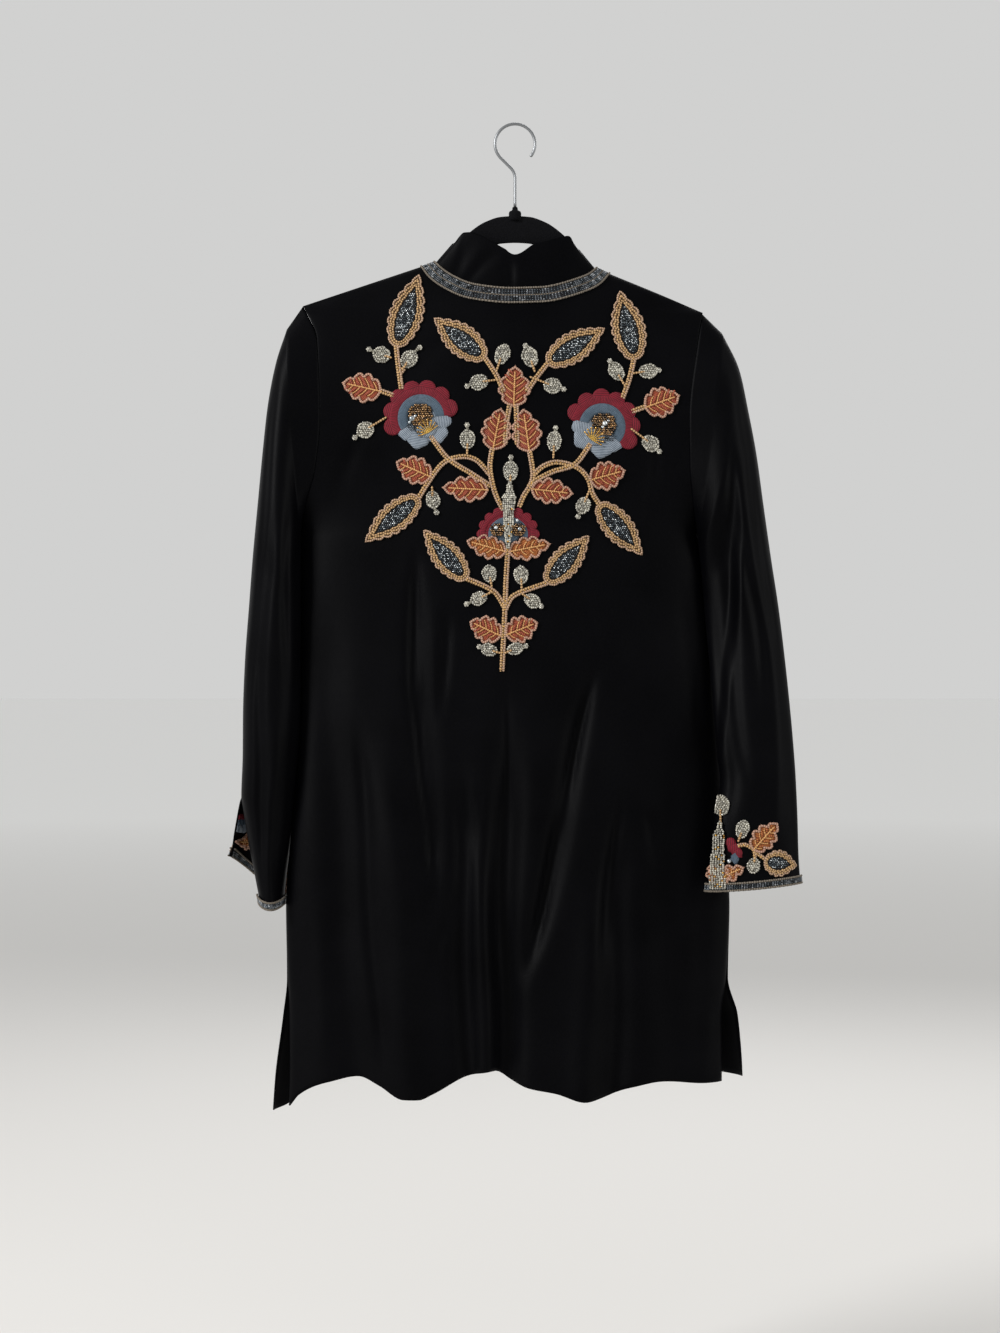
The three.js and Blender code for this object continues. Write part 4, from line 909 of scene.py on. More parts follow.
def layBand(gather, place, near, far, height, level=0.0):
    part = np.linspace(0, 1, bandSteps + 1)
    flat = near[:, None] * (1 - part)[None, :, None] + far[:, None] * part[None, :, None]
    dome = mix(0.1, height, np.sqrt(np.maximum(1 - (2 * part - 1) ** 4, 0)))
    dome = np.broadcast_to(dome[None], flat.shape[:2])
    rows = len(near)
    x, z = flat[..., 0], flat[..., 1]
    net = place(x, z, dome + level)
    net[:, 0] = place(x[:, 0], z[:, 0], np.full(rows, -0.3))
    net[:, -1] = place(x[:, -1], z[:, -1], np.full(rows, -0.3))
    faces = quadsOf(np.arange(net.shape[0] * net.shape[1]).reshape(net.shape[:2]))
    run = np.concatenate([[0], np.cumsum(np.linalg.norm(np.diff(far, axis=0), axis=1))])
    wide = np.linalg.norm(far - near, axis=1).mean()
    u, v = np.broadcast_arrays(run[:, None], part[None] * wide)
    gather.add(net.reshape(-1, 3), faces, np.stack([u, v], -1).reshape(-1, 2))


# A large leaf: a border of couched cords, scalloped outside, round a field of dark and bright beads
def largeLeaf(work, place, base, tip, width, lobes=8):
    base, tip = np.array(base, float), np.array(tip, float)
    fieldBase, fieldTip = mix(base, tip, 0.08), mix(base, tip, 0.84)
    outer = leafShape(base, tip, width, lobes, 3.4, count=70)
    field = leafShape(fieldBase, fieldTip, width * 0.58, lobes, 0.9, count=70)
    laySatin(work["ground"], place, field, 0.4)
    # The dark band between the cords is painted shade
    layBand(work["paintedShadeSatin"], place, closedPath(field), closedPath(outer), 0.7)
    for share, radius, cord in ((0.99, 0.95, "edgeCord"), (0.6, 1.0, "goldCord"), (0.2, 0.9, "goldCord")):
        layCord(work[cord], place, closedPath(mix(field, outer, share)), radius, 0.4, True)
    spots = beadSpots(leafShape(fieldBase, fieldTip, width * 0.58, inset=0.9), 2.0)
    bright = rng.random(len(spots)) < 0.4
    layBeads(work["gunmetal"], place, spots[~bright], 0.85, 0.3)
    layBeads(work["silver"], place, spots[bright], 0.7, 0.7)


# A small leaf: broken herringbone strokes and a gold vein inside a pale lobed cord
def smallLeaf(work, place, base, tip, width, fill="rustSatin", lobes=4):
    base, tip = np.array(base, float), np.array(tip, float)
    border = leafShape(base, tip, width, lobes, 5.4, 0.6, count=58)
    along = unit(tip - base)
    across = sideways(along)
    length = np.linalg.norm(tip - base)
    laySatin(work[fill], place, border, 0.8, math.atan2(along[1], along[0]) + 0.9)
    layCord(work["pinkCord"], place, closedPath(border), 1.2, 0.2, True)
    layCord(work["vein"], place, [base - along, base + along * length * 0.45, base + along * length * 0.86],
            0.75, 0.9)
    strokes = 4
    for k in range(strokes):
        part = mix(0.12, 0.68, k / (strokes - 1))
        reach = (width / 2 - 3.4) * math.sin(math.pi * (part + 0.08) ** 0.82) ** 0.8
        for side in (-1, 1):
            start = base + along * length * (part + 0.03 * side)
            end = start + along * reach * 0.8 + across * side * reach
            bend = (start + end) / 2 + across * side * 1.1
            layCord(work["vein"], place, [start, bend, end], 0.62, 0.7)
            lift = along * length * 0.09
            layCord(work[fill], place, [start + lift + across * side * 1.8, bend + lift, end + lift * 0.6],
                    1.25, 0.3)


# A bud: an oval of small beads over dark stitches, with a round tip and a stalk
def greyBud(work, place, base, middle, tip, width, height):
    base, middle, tip = (np.array(spot, float) for spot in (base, middle, tip))
    along = unit(tip - base)
    across = sideways(along)
    turn = roundTurns(22)
    oval = (middle + along * (height / 2) * np.cos(turn)[:, None]
            + across * (width / 2) * (np.sin(turn) * (1 + 0.05 * np.cos(5 * turn)))[:, None])
    laySatin(work["greyCord"], place, oval, 0.5, 0.3)
    rim = resample(closedPath(middle + (oval - middle) * 0.93), 2.0)[:-1]
    spots = np.concatenate([rim, beadSpots(middle + (oval - middle) * 0.8, 2.25)])
    layBeads(work["greyBead"], place, spots + rng.normal(0, 0.18, spots.shape), 1.05, 0.5)
    reach = np.linalg.norm(tip - middle)
    if reach > height / 2 + 1:
        neck = middle + along * height * 0.46
        layCord(work["greyCord"], place, [neck, tip], 1.5, 0.3)
        layBeads(work["greyBead"], place, roundShape(tip, 1.7, 6), 1.15, 0.6)
        layBeads(work["greyBead"], place, [tip], 1.5, 1.0)
    stalk = [base, mix(base, middle, 0.5), middle - along * height * 0.2]
    layCord(work["goldCord"], place, stalk, 1.0, 0.9)


# A stem of two cords side by side over a dark ground, with small gold beads caught between them
def doubleStem(work, place, stops, gap=2.6, radius=1.2):
    path = resample(stops, 2.1)
    along = unit(np.gradient(path, axis=0))
    across = sideways(along)
    for side, cord in ((-0.5, "goldCord"), (0.5, "edgeCord")):
        layCord(work[cord], place, path + across * gap * side, radius, 0.0)
    layBeads(work["goldKnot"], place, path[1:-1:2], 0.62, 1.3)


def arcLine(centre, radius, start, end, tall=1.0, count=40):
    turn = np.linspace(start, end, count)
    return np.array(centre) + radius * np.stack([np.cos(turn), tall * np.sin(turn)], -1)


# Scallops round an arc, with the band behind them
def scallops(work, place, centre, radius, lobes, lobeRadius, start, end, tall=1.0):
    inner, outer = radius - lobeRadius * 1.9, radius - lobeRadius * 0.6
    layBand(work["crimson"], place, arcLine(centre, inner, start, end, tall),
            arcLine(centre, outer, start, end, tall), 1.7)
    for k in range(lobes):
        turn = start + (end - start) * (k + 0.5) / lobes
        reach = radius - lobeRadius
        middle = np.array(centre) + reach * np.array([math.cos(turn), tall * math.sin(turn)])
        laySatin(work["crimson"], place, roundShape(middle, lobeRadius, 24), 1.6, turn, edge=1.0)


# A side flower. Its angles are those of the left one; the right one is its mirror image, turned
flowerSpec = {"radius": 38, "lobes": 7, "lobeRadius": 8.9, "start": 4, "end": 212,
              "rays": 9, "rayAim": 118, "raySpread": 20, "rayReach": 13.5,
              "petals": ((-5, 19, 11), (-44, 21, 11), (-98, 20, 11), (-136, 20, 8.5))}


def sideFlower(work, place, centre, hand, turned):
    centre = np.array(centre, float)

    def angle(degrees):
        turn = math.radians(degrees)
        return turn if hand > 0 else math.pi - turn + math.radians(turned)

    def spot(degrees, reach):
        return centre + reach * np.array([math.cos(angle(degrees)), math.sin(angle(degrees))])

    start, end = angle(flowerSpec["start"]), angle(flowerSpec["end"])
    for degrees, reach, radius in flowerSpec["petals"]:
        middle = spot(degrees, reach)
        wave = 1 + 0.07 * np.cos(5 * roundTurns(26) + degrees)
        petal = middle + (roundShape(middle, radius, 26) - middle) * wave[:, None]
        laySatin(work["blue"], place, petal, 1.5, angle(degrees), edge=0.3)
    laySatin(work["blue"], place, roundShape(spot(-70, 8), 15, 26), 1.2, 0.5, edge=0.3)
    scallops(work, place, centre, flowerSpec["radius"], flowerSpec["lobes"], flowerSpec["lobeRadius"],
             start, end)
    layBand(work["slate"], place, arcLine(centre, 12, start, end), arcLine(centre, 25, start, end), 1.3,
            level=0.6)
    layBeads(work["sequin"], place, beadSpots(roundShape(spot(110, 2.5), 12), 2.5), 1.4, 1.4)
    laySatin(work["blue"], place, roundShape(spot(-60, 11), 10.5, 26), 1.4, 0.5, edge=0.9, level=1.0)
    for degrees, reach, radius in flowerSpec["petals"][2:]:
        layBeads(work["gunmetal"], place, beadSpots(roundShape(spot(degrees, reach - 8), 6), 2.6), 0.8, 1.6)
    foot = spot(-62, 17)
    middleRay = flowerSpec["rays"] // 2
    for k in range(flowerSpec["rays"]):
        turn = angle(flowerSpec["rayAim"] + flowerSpec["raySpread"] * (k - middleRay))
        ray = np.array([math.cos(turn), math.sin(turn)])
        reach = flowerSpec["rayReach"] - 0.8 * abs(k - middleRay)
        layCord(work["fan"], place, [foot, foot + ray * reach * 0.6, foot + ray * reach], 0.5, 2.5)
        layBeads(work["goldKnot"], place, [foot + ray * reach, foot + ray * reach * 0.6], 0.85, 2.9)
    stone = spot(188, 9) if hand > 0 else spot(120, 4)
    layBeads(work["silver"], place, [stone], 2.9, 1.4)
    layBeads(work["silver"], place, [stone + (3.4, 2.6), stone + (-2.4, -3.6)], 1.5, 1.6)


# The half flower at the spray's middle
halfSpec = {"x": -7, "z": -411, "radius": 31, "lobes": 9, "lobeRadius": 5.0, "tall": 0.9}


def halfFlower(work, place):
    centre = np.array([halfSpec["x"], halfSpec["z"]], float)
    tall = halfSpec["tall"]
    start, end = math.radians(-10), math.radians(190)

    def band(finish, near, far, height, level=0.0):
        layBand(work[finish], place, arcLine(centre, near, start, end, tall),
                arcLine(centre, far, start, end, tall), height, level)

    laySatin(work["slate"], place, roundShape(centre + (0, 2), 12), 1.2, 0.4)
    band("crimson", 15, 24, 1.4)
    scallops(work, place, centre, halfSpec["radius"], halfSpec["lobes"], halfSpec["lobeRadius"], start, end,
             tall)
    band("slate", 3, 22, 1.5, 0.6)
    for side in (-1, 1):
        disc = centre + np.array([side * 10.5, 4.5])
        layBeads(work["sequin"], place, beadSpots(roundShape(disc, 7.2), 2.4), 1.3, 2.3)
    stones = [centre + at for at in ((11.5, 5.0), (9.0, 14.0), (-12.0, 6.5))]
    layBeads(work["silver"], place, stones, 1.9, 2.4)


# A column of beads: its half width at each height
columnSpec = {"rowPitch": 1.9, "beadPitch": 2.1, "goldShare": 0.08}


def beadColumn(work, place, stops):
    zs, halves, xs = zip(*stops)
    half = curveThrough(zs, halves)
    middle = curveThrough(zs, xs)
    pitch = columnSpec["beadPitch"]
    spots, high = [], []
    for z in np.arange(min(zs), max(zs), columnSpec["rowPitch"]):
        count = max(int(float(half(z)) / (pitch / 2)), 1)
        for k in range(count):
            spots.append((float(middle(z)) + (k - (count - 1) / 2) * pitch, z))
            high.append(1.9 + 0.9 * (1 - abs(2 * k - count + 1) / (count + 1)))
    spots, high = np.array(spots) + rng.normal(0, 0.16, (len(spots), 2)), np.array(high)
    gold = rng.random(len(spots)) < columnSpec["goldShare"]
    layBeads(work["greyBead"], place, spots[~gold], 1.08, high[~gold])
    layBeads(work["goldKnot"], place, spots[gold], 1.0, high[gold])


# Where each piece lies, by x and z. The two halves match in kind, but hang a little apart.
# Leaves: x and z of the tip, x and z of the base, and the width
largeLeaves = (
    (-95.5, -151, -118, -224, 31), (104.5, -167, 119, -237, 31), (-80, -195.5, -30, -236, 29),
    (88.5, -205.5, 32, -241, 28), (-148, -417.5, -95, -374, 27), (125.5, -430.5, 82.5, -380.5, 27),
    (-90, -406.5, -48.5, -455, 26), (72.5, -412, 31, -458.5, 26),
)
rustLeaves = (
    (0, -243.5, -1.4, -284, 28), (-14, -285.5, -22, -327, 26), (8, -286, 14, -329, 26),
    (-171.5, -260, -133, -269, 26), (163, -272.5, 128.5, -285, 27), (-118, -338.5, -83, -354, 24),
    (109, -347, 74, -357, 25), (-72, -364.5, -27, -367, 22), (57.5, -370.5, 16, -366, 22),
    (-45, -496.5, -14, -511, 23), (22.5, -497.5, -9, -510, 23),
)
goldLeaves = ((-48.5, -417, -9, -428, 20), (35, -420, -6, -428, 20))
# Buds: base, middle and tip, width and height
buds = (
    ((-122, -235.5), (-132.5, -232), (-145, -226.5), 16, 17),
    ((-112, -248), (-105, -236.5), (-94.5, -225), 15, 19),
    ((-127, -294.5), (-148, -307), (-158.5, -314.5), 16, 17),
    ((-19, -250), (-12.6, -232), (-7, -222), 14, 21), ((-14, -257), (-36, -260), (-47.5, -264), 15, 18),
    ((-47.5, -332), (-47, -316.5), (-47.5, -302.5), 14.5, 19),
    ((-82, -363), (-81, -376.5), (-77.5, -389), 13.5, 17),
    ((19.5, -250), (14.5, -234.5), (10, -223.5), 15, 21), ((14, -254.5), (37, -263.5), (48, -267), 15, 18),
    ((37.5, -336), (38.5, -318.5), (40, -305.5), 13.5, 20),
    ((109, -264), (100, -248.5), (93.5, -238.5), 14, 20),
    ((116, -251), (132, -248.5), (142.5, -247.5), 14, 19),
    ((114, -305.5), (134, -320.5), (143, -328), 15, 18), ((73, -367), (67, -382), (62, -393), 13.5, 17),
    ((-4.8, -360), (-4.6, -348), (-4.2, -334.5), 14, 20),
    ((-23, -463), (-25.5, -449.5), (-25.5, -446), 14, 17),
    ((-22, -467), (-36, -474), (-48, -479.5), 13, 16), ((6.5, -467), (5.7, -450.7), (5.7, -447), 13.5, 18),
    ((6, -469), (17, -476.5), (25.5, -481.5), 13, 17),
    ((-14, -528), (-26, -524.5), (-35.5, -521.5), 11.5, 16),
    ((-11, -528), (0, -523.5), (10.5, -520.7), 11.5, 16),
)
stems = (
    ((-118, -222), (-116, -241), (-112.5, -267)), ((118, -235), (113, -256.5), (106, -276)),
    ((-110, -245.5), (-115, -252)), ((-134, -268), (-120, -273)), ((129, -284), (115, -289)),
    ((-31, -234), (-19, -252), (-11, -270)), ((33, -240), (22, -254), (11, -270)),
    ((-5, -281), (-8.5, -300), (-10, -322)), ((1, -281), (1.5, -300), (2, -322)),
    ((-11.5, -387), (-20, -369.5), (-25, -345), (-22.5, -325)),
    ((-87, -308), (-67.5, -334.5), (-45, -349.5), (-24, -363)),
    ((-25, -352), (-37.5, -338), (-52.5, -334), (-70, -339.5), (-83, -355), (-95.5, -375)),
    ((3.5, -384), (8.7, -372), (15, -362), (17.5, -350), (14, -328)),
    ((77, -316), (60, -340.5), (39, -348), (20, -357.5), (13, -364)),
    ((17.5, -353), (26, -344.5), (39, -339.5), (55, -342), (66, -348), (73, -358), (76, -369.5),
     (84, -382)),
    ((-7, -424), (-9, -455), (-10, -482), (-13, -546)),
    ((-49, -454), (-30, -462), (-18.5, -469.5), (-10.5, -483)),
    ((32, -458.5), (9, -466.5), (-3.5, -473), (-9.5, -485)),
)
columnStops = ((-424, 2.4, -7), (-412, 4.4, -7), (-400, 5.6, -6.5), (-388, 6.2, -6.5), (-374, 7.4, -6),
               (-368, 4.4, -5.6), (-358, 2.2, -5))


# The spray reads its places from a net of the back, 1 mm apart
netSpec = {"lowX": -185.0, "highX": 178.0, "lowZ": -552.0, "highZ": -146.0}
netX = np.arange(netSpec["lowX"], netSpec["highX"] + 0.5, 1.0)
netZ = np.arange(netSpec["lowZ"], netSpec["highZ"] + 0.5, 1.0)
backNet = onBody(backSide, *np.meshgrid(netX, netZ), 0.0)
backOutward = gridNormals(backNet)


def placeOnBack(x, z, high):
    x, z, high = np.broadcast_arrays(*(np.asarray(value, float) for value in (x, z, high)))
    across = np.clip(x - netSpec["lowX"], 0, len(netX) - 1.001)
    up = np.clip(z - netSpec["lowZ"], 0, len(netZ) - 1.001)
    column, row = across.astype(int), up.astype(int)
    u, v = (across - column)[..., None], (up - row)[..., None]

    def read(net):
        lower = mix(net[row, column], net[row, column + 1], u)
        upper = mix(net[row + 1, column], net[row + 1, column + 1], u)
        return mix(lower, upper, v)

    return read(backNet) + unit(read(backOutward)) * (high + cloth["laid"])[..., None]


spray = newWork()
for stops in stems:
    doubleStem(spray, placeOnBack, stops)
for tipX, tipZ, baseX, baseZ, width in largeLeaves:
    largeLeaf(spray, placeOnBack, (baseX, baseZ), (tipX, tipZ), width)
for tipX, tipZ, baseX, baseZ, width in rustLeaves:
    smallLeaf(spray, placeOnBack, (baseX, baseZ), (tipX, tipZ), width)
for bud in buds:
    greyBud(spray, placeOnBack, *bud)
sideFlower(spray, placeOnBack, (-93, -295), 1, 0)
sideFlower(spray, placeOnBack, (86, -304), -1, -10)
halfFlower(spray, placeOnBack)
for tipX, tipZ, baseX, baseZ, width in goldLeaves:
    smallLeaf(spray, placeOnBack, (baseX, baseZ), (tipX, tipZ), width, "amber")
beadColumn(spray, placeOnBack, columnStops)
sprayParts = buildWork(spray, "spray.")
print("spray embroidered")


# Braid: lanes of beads in two shades between thin cords, on a dark ground, with scattered paler beads as
# painted glints
braidSpec = {"pitch": 1.9, "radius": 0.92, "check": 3, "rise": (0.1, 0.6, 0.7, 0.7, 0.7, 0.6, 0.1),
             "neckWidth": 16, "cuffWidth": 7.6}


def makeBraid(name, placeAlong, length, width, lanes):
    ground, cords = Gather(), Gather()
    shades = {"pale": Gather(), "dark": Gather(), "bright": Gather()}
    columns = max(int(length / 3), 8)
    part = np.linspace(0, 1, columns + 1)
    steps = len(braidSpec["rise"])
    across = np.linspace(0, 1, steps)
    u, v = np.broadcast_arrays(part[:, None] * length, across[None] * width)
    net = placeAlong(u, v, np.broadcast_to(braidSpec["rise"], u.shape))
    faces = quadsOf(np.arange(len(net) * steps).reshape(-1, steps))
    ground.add(net.reshape(-1, 3), faces, np.stack([u, v], -1).reshape(-1, 2))
    count = int((length - 2) / braidSpec["pitch"])
    run = 1.0 + (np.arange(count) + 0.5) * (length - 2) / count
    block = (np.arange(count) // braidSpec["check"]) % 2
    for lane, rows in enumerate(lanes):
        for row in rows:
            spots = np.stack([run, np.full(count, row * width)], -1)
            pale = (block + lane) % 2 == 0
            # One bead in ten is made paler at random, as a painted glint
            bright = rng.random(count) < 0.1
            for key, chosen, high in (("bright", bright, 0.5), ("pale", pale & ~bright, 0.4),
                                      ("dark", ~pale & ~bright, 0.4)):
                layBeads(shades[key], placeAlong, spots[chosen], braidSpec["radius"], high)
    dividers = [(lanes[k][-1] + lanes[k + 1][0]) / 2 for k in range(len(lanes) - 1)]
    for edge, radius in [(0.05, 1.0), (0.95, 1.0)] + [(place, 0.6) for place in dividers]:
        path = np.stack([np.linspace(0.5, length - 0.5, columns * 2),
                         np.full(columns * 2, edge * width)], -1)
        layCord(cords, placeAlong, path, radius, 0.4, True)
    looks = (("ground", ground, braidThread), ("pale", shades["pale"], blueGreyBead),
             ("dark", shades["dark"], gunmetalBead), ("bright", shades["bright"], glintBead),
             ("edges", cords, braidCord))
    return [work.build(name + "." + key, look) for key, work, look in looks]


neckLanes = ((0.19, 0.30, 0.41), (0.59, 0.70, 0.81))
cuffLanes = ((0.3, 0.5, 0.7),)


def neckPlacer(side, rows, length):
    def place(run, across, high):
        run, across = asPair(run, across)
        innerX, innerZ, outerX, outerZ = neckAt(rows, run / length)
        share = across / braidSpec["neckWidth"]
        return onBody(side, mix(innerX, outerX, share), mix(innerZ, outerZ, share),
                      np.asarray(high, float) + cloth["laid"])
    return place


braids = {}
for node, side, rows, length in (("neck-braid-back", backSide, backNeck, 185),
                                 ("neck-braid-left", frontSide, leftNeck, 128),
                                 ("neck-braid-right", frontSide, rightNeck, 128)):
    braids[node] = makeBraid(node, neckPlacer(side, rows, length), length, braidSpec["neckWidth"],
                             neckLanes)


# Height from a sleeve's outer face, or for trim on its inside the way down through the cloth
def sleeveLift(high, inside):
    high = np.asarray(high, float)
    return -high - cloth["under"] if inside else high + cloth["laid"]


def cuffPlacer(hand, length, inside):
    def place(run, across, high):
        run, across = asPair(run, across)
        around = mix(0.003, 0.997, run / length)
        rise = sleevePoint(hand, around, lastStation) - sleevePoint(hand, around, lastStation - 0.3)
        station = lastStation - 0.004 - across * 0.3 / np.linalg.norm(rise, axis=-1)
        return onSleeve(hand, around, station, sleeveLift(high, inside))
    return place


for hand, length in (("left", 190), ("right", 215)):
    braids["cuff-braid-" + hand] = []
    for name, inside in (("cuff-braid-", False), ("cuff-facing-", True)):
        braids["cuff-braid-" + hand] += makeBraid(name + hand, cuffPlacer(hand, length, inside), length,
                                                  braidSpec["cuffWidth"], cuffLanes)
print("braids made")


# Places by x and z on a sleeve's near face, or on its far one, and there outside or inside
def sleeveFacePlacer(hand, far=False, inside=False):
    rings = np.array(ringRows[hand], float)
    steps = np.arange(lastStation)
    outerX, outerZ, innerX, innerZ = (curveThrough(steps, rings[:, k]) for k in range(4))

    def place(x, z, high):
        x, z = asPair(x, z)
        aimX, aimZ = x, z
        for _ in range(3):
            low, top = np.full(x.shape, 6.0), np.full(x.shape, lastStation - 1.0)
            for _ in range(14):
                ring = (low + top) / 2
                swing = np.clip((aimX - outerX(ring)) / (innerX(ring) - outerX(ring)), 0.002, 0.998)
                above = mix(outerZ(ring), innerZ(ring), swing) > aimZ
                low, top = np.where(above, ring, low), np.where(above, top, ring)
            around = np.arccos(1 - 2 * swing) / (2 * math.pi)
            around = 1 - around if far else around
            found = sleevePoint(hand, around, ring + 1)
            aimX, aimZ = aimX + x - found[..., 0], aimZ + z - found[..., 2]
        return onSleeve(hand, around, ring + 1, sleeveLift(high, inside))

    return place


# Cuff motif, in the right sleeve's own x and z, which the given function turns to those to place by.
# Bands: finish, centre, near and far radius, start, end and height. Leaves: base, tip, width and lobes
cuffBands = (("crimson", (214, -729), 3, 13, -0.2, 1.7, 1.8), ("slate", (214, -731), 2, 10, -0.9, 0.6, 2.0))
cuffPetals = ((222.5, -727), (219.1, -721.8), (215.7, -716.6))
cuffLeaves = (((203, -753), (229, -741), 13, 3), ((204, -758), (198, -738), 13, 3),
              ((205, -758), (211, -740), 13, 3), ((237.5, -724), (262, -696.5), 20, 4))
cuffStems = ((((222, -720), (230, -718.5), (238, -723)), 1.8, 1.0),
             (((237, -722), (243, -728), (250, -733)), 1.8, 1.0), (((239, -722), (239.5, -732)), 1.6, 0.9))
cuffBuds = (((207, -700), (207.5, -680), (207.5, -672), 14.5, 20),
            ((223, -716), (227.5, -703), (229, -697), 12, 18),
            ((239.5, -730), (238, -739.5), (236.5, -745), 12, 15))
cuffColumn = ((-758, 8.0, 204), (-742, 7.2, 203.5), (-720, 6.0, 205), (-705, 5.2, 206), (-700, 3.0, 206.6),
              (-693, 1.8, 207))


def cuffMotif(work, place, at):
    for finish, centre, near, far, start, end, height in cuffBands:
        layBand(work[finish], place, at(arcLine(centre, near, start, end)),
                at(arcLine(centre, far, start, end)), height)
    for spot in cuffPetals:
        laySatin(work["crimson"], place, at(roundShape(spot, 5, 20)), 2.0)
    for base, tip, width, lobes in cuffLeaves:
        smallLeaf(work, place, *at([base, tip]), width, "amber", lobes)
    for stops, gap, radius in cuffStems:
        doubleStem(work, place, at(stops), gap, radius)
    largeLeaf(work, place, *at([(249, -735), (281, -740)]), 23, 6)
    for bud in cuffBuds:
        greyBud(work, place, *at(bud[:3]), *bud[3:])
    beadColumn(work, place, [(z, half, float(at([(x, z)])[0][0])) for z, half, x in cuffColumn])
    layBeads(work["silver"], place, at([(214.7, -735)]), 2.2, 2.0)


# The right cuff hangs nearer to the eye, so its motif is drawn in a little towards the picture's middle
drawIn = {"middleX": -15, "middleZ": -541, "shareX": 0.022, "shareZ": 0.02}


def asOnRight(spots):
    x, z = np.moveaxis(np.array(spots, float), -1, 0)
    return np.stack([x - drawIn["shareX"] * (x - drawIn["middleX"]),
                     z - drawIn["shareZ"] * (z - drawIn["middleZ"])], -1)


# The left sleeve's motif lies on its far side: the same share of the way from the inner edge to the
# outer one, and the same distance above the cuff's edge
rightCuff = {"innerX": 186, "width": 98, "innerZ": -762, "outerZ": -753.5}


def farFacePlacer(hand):
    def place(x, z, high):
        x, z = asPair(x, z)
        share = np.clip((x - rightCuff["innerX"]) / rightCuff["width"], 0.01, 0.99)
        around = 0.5 + share / 2
        run = sleevePoint(hand, around, lastStation) - sleevePoint(hand, around, lastStation - ventSteps)
        above = z - mix(rightCuff["innerZ"], rightCuff["outerZ"], share)
        station = lastStation - above * ventSteps / np.linalg.norm(run, axis=-1)
        return onSleeve(hand, around, station, sleeveLift(high, False))

    return place


# The part of the left motif that the turned-out flap shows
def flapMotif(work, place, at):
    for x, z in ((-275.5, -692), (-271.5, -690.5), (-268, -692)):
        laySatin(work["crimson"], place, at(roundShape((x, z), 3.2, 20)), 1.4)
    laySatin(work["slate"], place, at(roundShape((-274, -698), 5.5, 22)), 1.4)
    laySatin(work["blue"], place, at(roundShape((-275, -703.5), 5.2, 22)), 1.7)
    smallLeaf(work, place, *at([(-263, -719), (-281, -716.5)]), 14, "amber", 3)


motifParts = {"right": [], "left": []}
for name, hand, draw, place, at in (
        ("cuffMotif.right.", "right", cuffMotif, sleeveFacePlacer("right"), asOnRight),
        ("cuffMotif.left.", "left", cuffMotif, farFacePlacer("left"), np.array),
        ("cuffFlap.left.", "left", flapMotif, sleeveFacePlacer("left", True, True), np.array)):
    work = newWork()
    draw(work, place, at)
    motifParts[hand] += buildWork(work, name)
print("cuffs embroidered")


# Hanger: an arched flocked bar with a rounded section, and its knob
hangerSpec = {"thickness": 5.0, "sides": 28,
              "x": (-186, -178, -150, -110, -88, -74, -58, -45, -30, -14, 0, 14, 30,
                                      45, 60, 74, 90, 120, 148, 160, 167),
              "top": (-183.5, -179, -169, -155.5, -150.5, -143, -119.5, -106.5, -96.5, -91.3, -90.5,
                      -91.3, -96.5, -106.5, -122.5, -148, -157.5, -167.5, -179.5, -185, -189.5),
              "height": (12, 17, 20, 22, 25, 29, 36, 33, 29, 27, 27, 27, 29, 33, 37, 27, 25, 22, 19,
                         17, 12)}


# Flat ends for a tube of rings. The order is 1 for a tube's own faces and -1 for them turned round
def closeEnds(work, rows, sides, order):
    last = (rows - 1) * sides
    work.faces.append(np.array([[k + 1, k, 0][::order] for k in range(1, sides - 1)]))
    work.faces.append(np.array([[last + k, last + k + 1, last][::order] for k in range(1, sides - 1)]))


def makeHanger():
    low, high = hangerSpec["x"][0], hangerSpec["x"][-1]
    sides = hangerSpec["sides"]
    x = np.linspace(low, high, 220)
    top = curveThrough(hangerSpec["x"], hangerSpec["top"])(x)
    height = curveThrough(hangerSpec["x"], hangerSpec["height"])(x)
    end = np.minimum(1, np.minimum(x - low, high - x) / 8)
    narrow = np.sqrt(np.maximum(1 - (1 - end) ** 2, 0.02))
    middleZ, halfHeight = top - height / 2, height / 2 * narrow
    turn = roundTurns(sides)
    c, s = np.cos(turn), np.sin(turn)
    sectionY = np.sign(c) * np.abs(c) ** 0.55 * hangerSpec["thickness"] / 2
    sectionZ = np.sign(s) * np.abs(s) ** 0.8
    net = np.stack([np.broadcast_to(x[:, None], (len(x), sides)), np.outer(narrow**0.5, sectionY),
                    middleZ[:, None] + np.outer(halfHeight, sectionZ)], -1)
    work = Gather()
    work.add(net.reshape(-1, 3), tubeQuads(len(x), sides)[:, [0, 3, 2, 1]], net.reshape(-1, 3)[:, [0, 2]])
    closeEnds(work, len(x), sides, -1)
    lathe(work, ((0, -95), (6, -95), (6.2, -92), (6.2, -87.5), (5.4, -86), (3.2, -85), (2.8, -84),
                 (2.6, -82.2), (2.2, -81.7), (0, -81.6)), sides)
    return work.build("flockedBar", flock)


def lathe(work, profile, sides):
    profile = np.array(profile, float)
    turn = roundTurns(sides)
    net = np.stack([profile[:, :1] * np.cos(turn)[None], profile[:, :1] * np.sin(turn)[None],
                    np.broadcast_to(profile[:, 1:], (len(profile), sides))], -1)
    work.add(net.reshape(-1, 3), tubeQuads(len(profile), sides), net.reshape(-1, 3)[:, [0, 2]])


hangerPiece = makeHanger()


# Hook: a straight stem, an eighth turn to the left and a round crook with a blunt tip
hookSpec = {"wire": 3.0, "radius": 20.0, "bend": 14.0, "foot": -81.3, "crookDegrees": 262, "sides": 20,
            "tipLength": 0.9, "tipRadius": 0.95}


